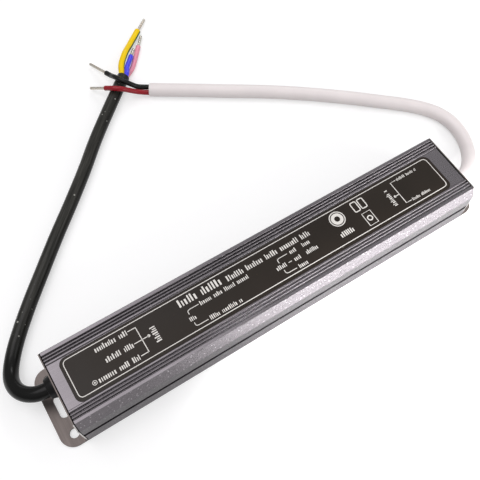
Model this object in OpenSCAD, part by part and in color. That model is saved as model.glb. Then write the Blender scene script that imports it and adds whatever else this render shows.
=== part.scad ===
// Sealed slim power supply: a ribbed aluminium extrusion closed by two bent end brackets,
// with a potted circuit inside, a mains lead at one end and a low-voltage lead at the other.
// Lengths are in millimetres. X runs from the mains end to the output end, Y runs across
// the housing and Z points up from the surface that the feet are screwed to.

/* [Housing] */
// Length of the extrusion, without the end brackets
body_l = 163; // [160:1:220]
// Width of the extrusion
body_w = 30; // [29:0.5:40]
// Height of the extrusion
body_h = 20; // [19.5:0.5:26]
// Thickness of the side walls
side_wall = 1.7; // [1.4:0.1:2]
// Thickness of the floor
floor_wall = 1.6; // [1.2:0.1:2]
// Thickness of the roof under the label panel
roof_wall = 1.6; // [1.2:0.1:2]
// How far each upper edge is bevelled inwards
bevel_in = 1.8; // [1:0.05:2.5]
// How far each upper edge is bevelled downwards
bevel_down = 4.3; // [1.5:0.1:4.5]
// Break on the two lower edges
lower_break = 0.4; // [0.2:0.1:0.8]

/* [Top ribs] */
// Width of the sunken label panel
panel_w = 17.2; // [16.6:0.1:18]
// Depth of the sunken label panel
panel_d = 0.5; // [0.3:0.1:0.8]
// Number of grooves on each side of the panel
rib_grooves = 3; // [1:1:3]
// Spacing of the grooves
rib_pitch = 1.1; // [0.9:0.05:1.2]
// Width of a groove at the surface
groove_w = 0.55; // [0.4:0.05:0.6]
// Depth of a groove
groove_d = 0.6; // [0.3:0.1:0.8]

/* [Side groove] */
// Height of the middle of the side groove
side_groove_z = 8.6; // [7:0.1:11]
// Width of the side groove
side_groove_w = 2; // [1:0.1:3]
// Depth of the side groove
side_groove_d = 0.6; // [0.3:0.1:0.8]

/* [Label] */
// Bare panel between the label and the mains end
label_end_in = 3.3; // [1:0.1:10]
// Bare panel between the label and the output end
label_end_out = 5.7; // [1:0.1:10]
// Clearance between the label and the ribs
label_gap = 0.5; // [0.2:0.1:1]
// Thickness of the label film
label_t = 0.15; // [0.1:0.05:0.2]
// Corner radius of the label
label_r = 2.6; // [1:0.1:4]

/* [End brackets] */
// Thickness of the bracket sheet
sheet_t = 1; // [0.8:0.1:1.2]
// Inner radius of the bend
bend_r = 0.6; // [0.4:0.1:1]
// Length of a foot, from the plate's outer face
foot_l = 7.5; // [7:0.1:10]
// Radius of the foot's outer corners
foot_corner_r = 5; // [3:0.5:6]
// Diameter of the two screw holes in a foot
foot_hole_d = 3.4; // [2.5:0.1:3.6]
// Distance between the two screw holes in a foot
foot_hole_span = 21; // [18:0.5:22]
// Distance of the holes from the foot's outer edge
foot_hole_in = 5; // [4.5:0.1:5.1]
// Width of the slot in the middle of a foot
foot_slot_w = 3.4; // [2.5:0.1:3.6]
// Length of the slot in the middle of a foot
foot_slot_l = 8.6; // [6:0.1:12]
// How far the plate stays inside the extrusion's outline
plate_inset = 0.1; // [0:0.05:0.3]

/* [Plate screws] */
// Distance of the plate screws from the side faces
screw_in = 3.8; // [3.7:0.1:4.2]
// Distance of the plate screws from the top face
screw_down = 4.6; // [4.4:0.1:5]
// Core diameter of a plate screw
screw_d = 2.2; // [1.8:0.1:2.4]
// Head diameter of a plate screw
screw_head_d = 4.4; // [4:0.1:4.6]
// Length of a plate screw
screw_l = 7; // [5:0.5:8]
// Length of each arm of the cross recess
cross_l = 2.6; // [2:0.1:3]
// Width of each arm of the cross recess
cross_w = 0.7; // [0.5:0.1:0.8]
// Depth of the cross recess
cross_d = 0.6; // [0.3:0.1:0.7]
// Wall round the screw channel in the extrusion
channel_wall = 0.9; // [0.7:0.1:1]
// Width of the slit along a screw channel
channel_slit = 0.8; // [0.5:0.1:1.2]
// Clearance round a screw
screw_gap = 0.1; // [0.05:0.05:0.15]

/* [Leads and glands] */
// Diameter of the mains lead
mains_d = 5.4; // [5:0.1:6]
// Diameter of the output lead
output_d = 5.8; // [5:0.1:6]
// Diameter of an insulated core
core_d = 2.2; // [1.6:0.1:2.2]
// Diameter of the thicker yellow core
earth_core_d = 2.8; // [2.2:0.1:2.8]
// Diameter of a tinned core end
tip_d = 1.3; // [0.8:0.1:1.6]
// Diameter of a wire between a lead and the circuit board
tail_d = 1.5; // [1:0.1:1.6]
// Wall of the gland's neck
gland_wall = 0.5; // [0.4:0.1:0.8]
// How far a gland's collars stand out from its neck
gland_lip = 0.6; // [0.4:0.1:1]
// Thickness of the gland's inner collar
gland_inner_t = 0.8; // [0.5:0.1:1]
// Thickness of the gland's outer collar
gland_outer_t = 1; // [0.6:0.1:1.4]
// How far the gland stands out of the plate
gland_out = 3; // [2:0.1:3.2]
// Clearance between a gland and the plate or the lead
gland_gap = 0.1; // [0.05:0.05:0.15]
// How far a lead runs inside the housing's end
lead_in = 3.5; // [2:0.1:3.6]

/* [Circuit board] */
// Distance of the circuit board's ends from the housing's ends
board_inset = 8.5; // [8:0.1:9]
// Thickness of the circuit board
board_t = 1.6; // [1:0.1:1.6]
// Height of the underside of the circuit board
board_z = 4.3; // [4:0.1:4.6]
// How far the board rails stand in from the walls
rail_w = 0.9; // [0.6:0.1:1.2]
// Thickness of a board rail
rail_t = 0.8; // [0.6:0.1:1]
// Clearance between the circuit board and the housing
board_gap = 0.15; // [0.1:0.05:0.3]
// Thickness of the insulation sheet on the floor
sheet_film_t = 0.3; // [0.2:0.1:0.5]
// Clearance between the resin and the housing
resin_gap = 0.05; // [0.05:0.05:0.1]
// Clearance between the resin and the parts in it
pocket_gap = 0.1; // [0.05:0.05:0.2]
// Board kept free at each end for the wires of a lead
wire_room = 5.3; // [5.2:0.1:8]
// Gap between one part on the board and the next
row_gap = 1.2; // [0.8:0.1:2]
// Gap on each side of the transformer
trafo_space = 3.2; // [2:0.1:4]
// Gap between two capacitors that lie side by side
can_pair_gap = 0.3; // [0.2:0.1:0.6]
// Clearance between a lying capacitor and a screw channel
can_gap = 0.45; // [0.2:0.05:1]
// Clearance between a standing disc and a screw channel
disc_gap = 1; // [0.5:0.1:2]

/* [Mains side parts] */
// Diameter of the fuse
fuse_d = 8.4; // [7:0.1:8.5]
// Height of the fuse
fuse_h = 7.6; // [5:0.1:10]
// Thickness of the inrush thermistor
thermistor_t = 4; // [3:0.1:5]
// Length of the line capacitor
line_cap_l = 15; // [12:0.5:16]
// Width of the line capacitor
line_cap_w = 7.5; // [5:0.5:9]
// Clearance between the line capacitor and the roof
line_cap_head = 1.5; // [0.5:0.1:4]
// Outer diameter of the line choke's core
choke_d = 14; // [12:0.5:14.5]
// Hole diameter of the line choke's core
choke_hole_d = 7; // [6:0.5:8]
// Height of the line choke's core
choke_h = 6; // [4:0.5:7]
// Thickness of the line choke's winding
choke_wire_t = 1; // [0.6:0.1:1.2]
// Width of the bridge rectifier
bridge_w = 14.4; // [12:0.2:15]
// Clearance between the bridge rectifier and the roof
bridge_head = 1.4; // [0.5:0.1:3]
// Thickness of the bridge rectifier
bridge_t = 3.6; // [3:0.1:4]

/* [Output side parts] */
// Length of a flat power package's body
package_l = 6.2; // [5:0.1:7]
// Width of a flat power package's body
package_w = 6.6; // [5:0.1:7]
// Thickness of a flat power package's body
package_h = 2.3; // [1.8:0.1:2.6]
// Length of the transformer's core
trafo_l = 20; // [18:0.5:21]
// Clearance between the transformer's core and a screw channel
trafo_side = 0.3; // [0.2:0.1:1]
// Clearance between the transformer and the roof
trafo_head = 2; // [1:0.1:3]
// Thickness of the core's yokes and outer legs
trafo_leg = 2.6; // [2:0.1:2.8]
// Width of the core's middle leg
trafo_mid_w = 5.4; // [4:0.1:5.6]
// How far the core's outer legs stand above and below its middle leg
trafo_step = 1.9; // [1:0.1:2.4]
// Depth of wire round the bobbin
trafo_wire_t = 1.9; // [1:0.1:2]
// Thickness of the bobbin's walls
bobbin_wall = 0.8; // [0.5:0.1:1]
// Thickness of the safety capacitor
safety_t = 3.6; // [3:0.1:4]
// Diameter of the output inductor
inductor_d = 10; // [8:0.2:10.4]
// Clearance between the output inductor and the roof
inductor_head = 3; // [1:0.1:5]

/* [Hidden] */
$fn = 48;

half_l = body_l / 2;
half_w = body_w / 2;
cut = 0.5; // how far a cutting solid runs past the face that it opens

// Section of the extrusion
cavity_half_w = half_w - side_wall;
cavity_top = body_h - panel_d - roof_wall;
bevel_z = body_h - bevel_down;
cavity_bevel_z = bevel_z - side_wall / 2;
cavity_bevel_in = bevel_in * (cavity_top - cavity_bevel_z) / bevel_down;
rail_low_z = board_z - rail_t;
rail_high_z = board_z + board_t + board_gap;
screw_y = half_w - screw_in;
screw_z = body_h - screw_down;
channel_d = screw_d + 2 * screw_gap;
channel_r = channel_d / 2 + channel_wall;
first_groove_y = panel_w / 2 + rib_pitch - groove_w / 2;

// Label in its panel
label_l = body_l - label_end_in - label_end_out;
label_w = panel_w - 2 * label_gap;
label_x = (label_end_in - label_end_out) / 2;

// Brackets: the plate's two faces, the bend and the line on which a foot's holes lie
plate_out_x = half_l + sheet_t;
foot_end_x = plate_out_x + foot_l;
hole_x = foot_end_x - foot_hole_in;
bend_x = plate_out_x + bend_r;
bend_z = sheet_t + bend_r;
foot_half_w = half_w - plate_inset;

// Glands: both ends have the same hole, sized for the thicker lead
exit_y = 4.5;
exit_z = 10;
gland_neck_r = max(mains_d, output_d) / 2 + gland_gap + gland_wall;
gland_collar_r = gland_neck_r + gland_lip;

// Parts stand on the deck, which is the board's upper face
deck_z = board_z + board_t;
room_h = cavity_top - deck_z;
board_l = body_l - 2 * board_inset;
board_w = 2 * (cavity_half_w - board_gap);
resin_l = body_l - 2 * (gland_inner_t + 0.4);
channel_in_y = screw_y - channel_r;
foot_pin_d = 0.7;   // round legs of the two discs
stand_off = 1;      // height at which parts on legs stand above the deck
chip_size = [5, 4, 1.5];
opto_size = [4.6, 6.4, 3.4];
chip_lift = 0.2;    // height of a small package above the deck
pin_t = 0.3;        // thickness of a flat leg
pin_w = 0.5;        // width of a flat leg
pin_out = 0.9;      // how far a flat leg stands out of its package

package_leg_l = 2;  // how far a flat package's legs reach out of its body
package_tab_l = 1.2; // how far its metal tab reaches out at the other end

// Radius of a round part that keeps the given distances from the housing's middle and the deck
// and clears the screw channel: the circle that touches those two lines and a ring round the
// channel, or one that just fits beside the board rail where the housing is tall
function fitted_r(side, low, gap) =
    let (a = screw_y - side, b = screw_z - deck_z - low, c = channel_r + gap, sum = a + b + c)
    min(sum - sqrt(sum * sum - a * a - b * b + c * c),
        (cavity_half_w - rail_w - board_gap - side) / 2);

thermistor_side = 0.3; // distance of the thermistor from the middle
safety_side = 1.6;     // distance of the safety capacitor from the middle
can_d = 2 * fitted_r(can_pair_gap / 2, 0, can_gap);
thermistor_d = 2 * fitted_r(thermistor_side, stand_off, disc_gap);
safety_d = 2 * fitted_r(safety_side, stand_off, disc_gap);
line_cap_h = room_h - line_cap_head;
bridge_h = room_h - stand_off - bridge_head;
inductor_h = room_h - inductor_head;

// Transformer: its middle height and the room for the wire
trafo_gap = 0.1;    // clearance between core, bobbin and wire
core_split = 0.1;   // gap between the two halves of the core
flange_lip = 0.2;   // how far the bobbin's flanges stand above the wire
trafo_w = 2 * (channel_in_y - trafo_side);
trafo_mid_h = room_h - trafo_head - 2 * (2 * trafo_gap + bobbin_wall + trafo_wire_t + flange_lip);
trafo_h = trafo_mid_h + 2 * trafo_step;
bobbin_half_w = trafo_mid_w / 2 + trafo_gap + bobbin_wall;
bobbin_half_h = trafo_mid_h / 2 + trafo_gap + bobbin_wall;
wire_half_w = bobbin_half_w + trafo_gap + trafo_wire_t;
wire_half_h = bobbin_half_h + trafo_gap + trafo_wire_t;
flange_half_w = trafo_w / 2 - trafo_leg - trafo_gap;
flange_half_h = wire_half_h + flange_lip;
trafo_z = deck_z + flange_half_h;
window_half_l = trafo_l / 2 - trafo_leg;

// Row of parts from the mains end of the board. The bulk capacitors fill the rest of its half
wired_x = board_l / 2 - wire_room;
fuse_at = [-wired_x + fuse_d / 2, -channel_in_y + pocket_gap + fuse_d / 2];
thermistor_at = [fuse_at[0], thermistor_side + thermistor_d / 2];
line_cap_at = [fuse_at[0] + fuse_d / 2 + row_gap + line_cap_l / 2, 0];
choke_out_r = choke_d / 2 + choke_wire_t + pocket_gap;
choke_at = [line_cap_at[0] + line_cap_l / 2 + row_gap + choke_out_r, 0];
bridge_at = [choke_at[0] + choke_out_r + row_gap + bridge_t / 2, 0];
bulk_start_x = bridge_at[0] + bridge_t / 2 + row_gap;
bulk_end_x = -1.5;
bulk_l = bulk_end_x - bulk_start_x;
bulk_at = [(bulk_start_x + bulk_end_x) / 2, (can_pair_gap + can_d) / 2];

// Row of parts from the middle of the board. The output capacitors fill the rest of it
transistor_at = [bulk_end_x + 2 * row_gap + package_leg_l + package_l / 2, -6];
chip_at = [transistor_at[0], 6];
trafo_at = [transistor_at[0] + package_l / 2 + package_tab_l + trafo_space + trafo_l / 2, 0];
opto_at = [trafo_at[0] + trafo_l / 2 + trafo_space + opto_size[0] / 2, -5.5];
safety_at = [opto_at[0], safety_side + safety_d / 2];
inductor_at = [opto_at[0] + opto_size[0] / 2 + row_gap + inductor_d / 2, 3.4];
rectifier_at = [inductor_at[0], -6];
output_cap_start_x = inductor_at[0] + inductor_d / 2 + row_gap;
output_cap_l = wired_x - output_cap_start_x - row_gap / 2;
output_cap_at = [output_cap_start_x + output_cap_l / 2, (can_pair_gap + can_d) / 2];

// The leads' routes, as points on their middle lines from the plates outwards, fit this housing
// length, and each lead moves with its own end when the length changes
route_body_l = 163;
end_shift = [half_l - route_body_l / 2, 0, 0];
input_points = [
    [-82, 4.5, 10], [-85.6, 4.5, 10], [-89, 5.1, 9.7], [-91.9, 6.9, 8.8],
    [-94, 9.5, 7.5], [-95.1, 12.6, 6], [-95.2, 15.9, 4.6], [-94.3, 19.2, 3.6], [-92.6, 22.6, 3],
    [-90.2, 26.2, 2.8], [-86.4, 30.9, 2.8], [-80, 38, 2.8], [-70, 48.2, 2.8], [-59, 59.2, 2.8],
    [-48, 69.7, 2.8], [-37, 80.6, 2.8], [-26, 92.2, 2.8], [-13.2, 104.5, 2.8], [-0.8, 116, 2.8]];
output_points = [
    [82, -4.5, 10], [85.8, -4.5, 10], [89.6, -4, 9.8], [93.4, -2.3, 9],
    [97.2, 0.4, 7.8], [100.8, 3.8, 6.2], [103.9, 7.8, 4.7], [106.4, 12.4, 3.6], [107.8, 17.6, 3],
    [107.6, 23, 3], [105.8, 28.4, 3], [102.4, 33.4, 3], [97.4, 38.6, 3], [90, 45, 3],
    [78, 55, 3], [64, 65.8, 3], [49, 76.3, 3], [34, 85.8, 3], [19, 95.3, 3], [5.6, 103.7, 3]];

// Routes of the stripped cores, after the short straight stretch in which each leaves its lead
yellow_points = [[0.8, 120.9, 3.6], [5.2, 126.2, 4], [10.6, 131.8, 2.3], [17.8, 138.1, 1.5]];
blue_points = [[2.8, 119.2, 3.7], [5.3, 122.2, 3.2], [7.7, 125, 2.8]];
brown_points = [[5.4, 119.8, 1.2], [9.2, 124.2, 1.2], [13.7, 129.8, 1.2]];
black_points = [[1.4, 107.1, 4.3], [-1.1, 108.6, 6.1], [-3.4, 111, 7.2], [-4.8, 114, 6.9],
                [-5.7, 117.9, 4.9], [-6.6, 120.9, 4.1]];
red_points = [[0.4, 105.3, 3.3], [-2.8, 106.3, 5.2], [-6, 107.4, 7], [-8.1, 108.8, 7.1],
              [-9.6, 110.5, 6.4], [-11, 112.4, 5.3]];
// Lengths of the tinned ends
yellow_tip_l = 8.6;
blue_tip_l = 5;
brown_tip_l = 6.5;
black_tip_l = 11.5;
red_tip_l = 9;
core_sides = 8;
lead_sides = 12;
core_out = 1.2;      // straight stretch of a core out of its lead
core_gap = 0.05;     // clearance between a core and its lead or its tinned end
core_ring_r = 1.3;   // distance of the mains tails from the lead's middle line
earth_ring_r = 1.22; // distance of the yellow core from the lead's middle line
mains_ring_r = 1.52; // distance of the blue and brown cores from the lead's middle line
core_pair_r = 1.2;   // distance of the two output cores from the lead's middle line

// Vectors and sweeps
function unit(v) = v / norm(v);
function shifted(points, by) = [for (p = points) p + by];
function heading(p, i) =
    i == 0 ? unit(p[1] - p[0])
    : i == len(p) - 1 ? unit(p[i] - p[i - 1])
    : unit(unit(p[i + 1] - p[i]) + unit(p[i] - p[i - 1]));
function aside(t) = unit(cross(t, [0, 0, 1]));
function ring(p, i, r, n) =
    let (t = heading(p, i), s = aside(t), u = cross(s, t))
    [for (k = [0:n - 1]) p[i] + r * (cos(360 * (k + 0.5) / n) * s + sin(360 * (k + 0.5) / n) * u)];

// A core's line: it leaves the end of a lead at radius r, an angle above the lead's right side
function core_line(route, r, angle, points) =
    let (last = len(route) - 1, t = heading(route, last), s = aside(t), u = cross(s, t),
         start = route[last] + core_gap * t + r * (cos(angle) * s + sin(angle) * u))
    concat([start, start + core_out * t], points);

// A tinned end's line: straight on from the end of its core
function tip_line(line, l) =
    let (last = len(line) - 1, t = heading(line, last))
    [line[last] + core_gap * t, line[last] + (core_gap + l) * t];

inner_end = [half_l - lead_in, -exit_y, exit_z];
input_route = concat([[-inner_end[0], exit_y, exit_z]], shifted(input_points, -end_shift));
output_route = concat([inner_end], shifted(output_points, end_shift));
yellow_line = core_line(input_route, earth_ring_r, 170, shifted(yellow_points, -end_shift));
blue_line = core_line(input_route, mains_ring_r, 38, shifted(blue_points, -end_shift));
brown_line = core_line(input_route, mains_ring_r, 302, shifted(brown_points, -end_shift));
black_line = core_line(output_route, core_pair_r, 20, shifted(black_points, end_shift));
red_line = core_line(output_route, core_pair_r, 200, shifted(red_points, end_shift));

// Tube of diameter d along the points p, with n sides and one ring at each point
module tube(p, d, n) {
    last = len(p) - 1;
    skin = [for (i = [0:last]) each ring(p, i, d / 2, n)];
    start_cap = [[for (k = [0:n - 1]) k]];
    end_cap = [[for (k = [n - 1:-1:0]) last * n + k]];
    sides = [for (i = [0:last - 1]) for (k = [0:n - 1])
        [i * n + k, (i + 1) * n + k, (i + 1) * n + (k + 1) % n, i * n + (k + 1) % n]];
    polyhedron(points = skin, faces = concat(start_cap, sides, end_cap), convexity = 6);
}

// Round wire along X from x0 to x1 at height z, then straight down to the deck
module tail(x0, x1, y, z) {
    way = x1 > x0 ? 1 : -1;
    translate([x0, y, z]) rotate([0, way * 90, 0]) cylinder(d = tail_d, h = abs(x1 - x0));
    translate([x1, y, z]) sphere(d = tail_d);
    translate([x1, y, deck_z]) cylinder(d = tail_d, h = z - deck_z);
}

// A flat outline in Y and Z carried along X from x0 to x1
module along_x(x0, x1) {
    translate([x0, 0, 0]) rotate([90, 0, 90]) linear_extrude(x1 - x0) children();
}

module both_sides() {
    children();
    mirror([1, 0]) children();
}

// A rectangle with true round corners, its middle at the origin
module rounded_rectangle(l, w, r) {
    square([l - 2 * r, w], center = true);
    square([l, w - 2 * r], center = true);
    for (x = [-1, 1], y = [-1, 1]) translate([x * (l / 2 - r), y * (w / 2 - r)]) circle(r);
}

// Outline of the extrusion's section, in Y and Z, bevelled above and broken below
module section_outline(inset = 0) {
    w = half_w - inset;
    t = body_h - inset;
    polygon([[-w + lower_break, 0], [w - lower_break, 0], [w, lower_break], [w, bevel_z],
             [w - bevel_in, t], [-w + bevel_in, t], [-w, bevel_z], [-w, lower_break]]);
}

// Hollow of the extrusion, without rails or channels, drawn smaller by the clearance
module cavity_outline(gap = 0) {
    w = cavity_half_w - gap;
    t = cavity_top - gap;
    polygon([[-w, floor_wall + gap], [w, floor_wall + gap], [w, cavity_bevel_z], [w - cavity_bevel_in, t],
             [-w + cavity_bevel_in, t], [-w, cavity_bevel_z]]);
}

// Metal inside the hollow on the +Y side: two board rails, and the screw channel in its filled corner
module inner_metal(gap = 0) {
    into_wall = side_wall / 2;
    for (z = [rail_low_z, rail_high_z]) translate([cavity_half_w - rail_w - gap, z - gap])
        square([rail_w + into_wall + gap, rail_t + 2 * gap]);
    translate([screw_y, screw_z]) circle(channel_r + gap);
    translate([screw_y - channel_d / 2 - gap, screw_z - channel_d / 2 - gap])
        square([half_w - into_wall - screw_y + channel_d / 2 + gap, cavity_top - screw_z + channel_d + gap]);
}

// Bore and slit of the screw channel on the +Y side
module channel_bore() {
    translate([screw_y, screw_z]) circle(channel_d / 2);
    translate([screw_y, screw_z]) rotate(225)
        translate([0, -channel_slit / 2]) square([channel_r + cut, channel_slit]);
}

// One groove between two ribs, narrower at its foot
module rib_groove(y) {
    polygon([[y - groove_w / 2, body_h + cut], [y - groove_w / 2, body_h], [y - groove_w / 4, body_h - groove_d],
             [y + groove_w / 4, body_h - groove_d], [y + groove_w / 2, body_h], [y + groove_w / 2, body_h + cut]]);
}

// Groove along the +Y side face, with sloping walls
module side_groove() {
    polygon([[half_w + cut, side_groove_z - side_groove_w / 2], [half_w, side_groove_z - side_groove_w / 2],
             [half_w - side_groove_d, side_groove_z - side_groove_w / 4],
             [half_w - side_groove_d, side_groove_z + side_groove_w / 4],
             [half_w, side_groove_z + side_groove_w / 2], [half_w + cut, side_groove_z + side_groove_w / 2]]);
}

module housing_section() {
    difference() {
        section_outline();
        difference() {
            cavity_outline();
            both_sides() inner_metal();
        }
        translate([-panel_w / 2, body_h - panel_d]) square([panel_w, panel_d + cut]);
        both_sides() {
            channel_bore();
            side_groove();
            for (k = [0:rib_grooves - 1]) rib_groove(first_groove_y + k * rib_pitch);
        }
    }
}

module housing() {
    color([0.5, 0.49, 0.52]) along_x(-half_l, half_l) housing_section();
}

module label() {
    color([0.17, 0.15, 0.14]) translate([label_x, 0, body_h - panel_d])
        linear_extrude(label_t) rounded_rectangle(label_l, label_w, label_r);
}

// Flat foot of the -X bracket, from the bend to its rounded end, with two holes and a slot
module foot() {
    slot_half = (foot_slot_l - foot_slot_w) / 2;
    linear_extrude(sheet_t) difference() {
        intersection() {
            rounded_rectangle(2 * foot_end_x, 2 * foot_half_w, foot_corner_r);
            translate([-foot_end_x, -foot_half_w]) square([foot_end_x - bend_x, 2 * foot_half_w]);
        }
        for (s = [-1, 1]) translate([-hole_x, s * foot_hole_span / 2]) circle(d = foot_hole_d);
        for (s = [-1, 1]) translate([-hole_x, s * slot_half]) circle(d = foot_slot_w);
        translate([-hole_x - foot_slot_w / 2, -slot_half]) square([foot_slot_w, 2 * slot_half]);
    }
}

// Upright plate of the -X bracket, above the bend, with the gland hole and countersunk screw holes
module plate() {
    hole_r = screw_d / 2 + screw_gap;
    sink_r = screw_head_d / 2 + screw_gap;
    difference() {
        along_x(-plate_out_x, -half_l) intersection() {
            section_outline(plate_inset);
            translate([-half_w, bend_z]) square([body_w, body_h]);
        }
        for (s = [-1, 1]) translate([-half_l, s * screw_y, screw_z]) rotate([0, -90, 0]) rotate_extrude()
            polygon([[0, -cut], [hole_r, -cut], [hole_r, 0], [sink_r, sheet_t], [sink_r, sheet_t + cut],
                     [0, sheet_t + cut]]);
        translate([-half_l + cut, exit_y, exit_z]) rotate([0, -90, 0])
            cylinder(r = gland_neck_r + gland_gap, h = sheet_t + 2 * cut);
    }
}

// End bracket for the -X end: the plate is bent outwards into the foot
module bracket() {
    plate();
    translate([-bend_x, foot_half_w, bend_z]) rotate([90, 0, 0]) linear_extrude(2 * foot_half_w)
        intersection() {
            difference() {
                circle(bend_r + sheet_t);
                circle(bend_r);
            }
            translate([0, -bend_r - sheet_t]) square(bend_r + sheet_t);
        }
    foot();
}

module input_bracket() {
    color([0.49, 0.48, 0.47]) bracket();
}

module output_bracket() {
    color([0.49, 0.48, 0.47]) rotate([0, 0, 180]) bracket();
}

// Countersunk screw with a cross recess, its head flush with the -X plate
module plate_screw() {
    tip_l = screw_d / 2;
    translate([-plate_out_x, 0, 0]) rotate([0, 90, 0]) difference() {
        rotate_extrude() polygon([[0, 0], [screw_head_d / 2, 0], [screw_d / 2, sheet_t],
                                  [screw_d / 2, screw_l - tip_l], [screw_d / 4, screw_l], [0, screw_l]]);
        for (a = [0, 90]) rotate(a) translate([-cross_l / 2, -cross_w / 2, -cut])
            cube([cross_l, cross_w, cross_d + cut]);
    }
}

module end_screws() {
    for (s = [-1, 1]) translate([0, s * screw_y, screw_z]) plate_screw();
}

module input_screws() {
    color([0.62, 0.62, 0.64]) end_screws();
}

module output_screws() {
    color([0.62, 0.62, 0.64]) rotate([0, 0, 180]) end_screws();
}

// Rubber gland round a lead: inner collar, neck in the plate, outer collar and a short taper
module gland(lead_d) {
    bore = lead_d / 2 + gland_gap;
    translate([-plate_out_x, exit_y, exit_z]) rotate([0, -90, 0]) rotate_extrude()
        polygon([[bore, -sheet_t - gland_inner_t], [gland_collar_r, -sheet_t - gland_inner_t],
                 [gland_collar_r, -sheet_t], [gland_neck_r, -sheet_t], [gland_neck_r, 0],
                 [gland_collar_r, 0], [gland_collar_r, gland_outer_t], [gland_neck_r, gland_out],
                 [bore, gland_out]]);
}

module input_gland() {
    color([0.06, 0.06, 0.07]) gland(mains_d);
}

module output_gland() {
    color([0.06, 0.06, 0.07]) rotate([0, 0, 180]) gland(output_d);
}

module input_cable() {
    color([0.08, 0.08, 0.09]) tube(input_route, mains_d, lead_sides);
}

module output_cable() {
    color([0.93, 0.89, 0.88]) tube(output_route, output_d, lead_sides);
}

module yellow_core() {
    color([0.96, 0.82, 0.1]) tube(yellow_line, earth_core_d, core_sides);
}

module blue_core() {
    color([0.3, 0.36, 0.86]) tube(blue_line, core_d, core_sides);
}

module brown_core() {
    color([0.86, 0.5, 0.55]) tube(brown_line, core_d, core_sides);
}

module black_core() {
    color([0.06, 0.06, 0.07]) tube(black_line, core_d, core_sides);
}

module red_core() {
    color([0.6, 0.07, 0.13]) tube(red_line, core_d, core_sides);
}

module core_tip(line, l) {
    tube(tip_line(line, l), tip_d, core_sides);
}

module input_tips() {
    color([0.8, 0.8, 0.8]) {
        core_tip(yellow_line, yellow_tip_l);
        core_tip(blue_line, blue_tip_l);
        core_tip(brown_line, brown_tip_l);
    }
}

module output_tips() {
    color([0.8, 0.8, 0.8]) {
        core_tip(black_line, black_tip_l);
        core_tip(red_line, red_tip_l);
    }
}

// Shapes that stand or lie on the deck; the resin's pockets draw them larger by a gap
module on_deck_box(at, size, gap = 0) {
    translate([at[0] - size[0] / 2 - gap, at[1] - size[1] / 2 - gap, deck_z])
        cube([size[0] + 2 * gap, size[1] + 2 * gap, size[2] + gap]);
}

module on_deck_can(at, d, h, gap = 0) {
    translate([at[0], at[1], deck_z]) cylinder(r = d / 2 + gap, h = h + gap);
}

// Cylinder that lies on the deck along X, with its end rims rounded when there is no gap
module lying_can(at, d, l, gap = 0) {
    r = d / 2;
    rim = 0.8;
    translate([at[0] - l / 2 - gap, at[1], deck_z + r]) rotate([0, 90, 0]) rotate_extrude() {
        if (gap > 0) square([r + gap, l + 2 * gap]);
        else {
            square([r - rim, l]);
            translate([0, rim]) square([r, l - 2 * rim]);
            for (y = [rim, l - rim]) translate([r - rim, y]) circle(rim);
        }
    }
}

// Disc on two legs, facing along X
module standing_disc(at, d, t) {
    r = d / 2;
    leg_y = d / 4;
    translate([at[0] - t / 2, at[1], deck_z + stand_off + r]) rotate([0, 90, 0]) cylinder(r = r, h = t);
    for (s = [-1, 1]) translate([at[0], at[1] + s * leg_y, deck_z])
        cylinder(d = foot_pin_d, h = stand_off + r / 2);
}

// Moulded chip with flat legs along its two Y sides
module legged_chip(at, size, legs, pitch) {
    foot_y = size[1] / 2 + pin_out;
    mid_z = chip_lift + size[2] / 2;
    translate([at[0], at[1], deck_z]) {
        translate([-size[0] / 2, -size[1] / 2, chip_lift]) cube(size);
        for (k = [0:legs - 1], s = [0, 1]) rotate(180 * s) translate([(k - (legs - 1) / 2) * pitch, 0, 0]) {
            translate([-pin_w / 2, 0, mid_z]) cube([pin_w, foot_y, pin_t]);
            translate([-pin_w / 2, foot_y - pin_t, 0]) cube([pin_w, pin_t, mid_z + pin_t]);
        }
    }
}

// Flat power package: moulded body on a metal tab, with two legs bent down to the deck
module flat_package(at) {
    leg_z = package_h / 2;
    tab_w = package_w - 1.2;
    translate([at[0], at[1], deck_z]) {
        translate([-package_l / 2, -package_w / 2, pin_t]) cube([package_l, package_w, package_h - pin_t]);
        translate([0, -tab_w / 2, 0]) cube([package_l / 2 + package_tab_l, tab_w, pin_w]);
        for (s = [-1, 1]) translate([-package_l / 2 - package_leg_l, s * package_w / 3 - pin_w, 0]) {
            cube([pin_t, 2 * pin_w, leg_z]);
            translate([0, 0, leg_z - pin_t]) cube([package_leg_l + cut, 2 * pin_w, pin_t]);
        }
    }
}

module circuit_board() {
    color([0.16, 0.36, 0.2]) translate([-board_l / 2, -board_w / 2, board_z]) cube([board_l, board_w, board_t]);
}

module insulation_sheet() {
    sheet_l = board_l + 6;
    sheet_w = 2 * (cavity_half_w - rail_w - board_gap);
    color([0.85, 0.82, 0.6]) translate([-sheet_l / 2, -sheet_w / 2, floor_wall]) cube([sheet_l, sheet_w, sheet_film_t]);
}

module fuse() {
    color([0.2, 0.2, 0.22]) on_deck_can(fuse_at, fuse_d, fuse_h);
}

module inrush_thermistor() {
    color([0.12, 0.14, 0.12]) standing_disc(thermistor_at, thermistor_d, thermistor_t);
}

module line_capacitor() {
    color([0.85, 0.75, 0.2]) on_deck_box(line_cap_at, [line_cap_l, line_cap_w, line_cap_h]);
}

// Ring core, held by its two windings just above the deck
module line_choke_core() {
    rim = 0.5;
    inner = choke_hole_d / 2;
    outer = choke_d / 2;
    color([0.25, 0.25, 0.27]) translate([choke_at[0], choke_at[1], deck_z + choke_wire_t + pocket_gap])
        rotate_extrude() polygon([[inner + rim, 0], [outer - rim, 0], [outer, rim], [outer, choke_h - rim],
                                  [outer - rim, choke_h], [inner + rim, choke_h], [inner, choke_h - rim],
                                  [inner, rim]]);
}

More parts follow.
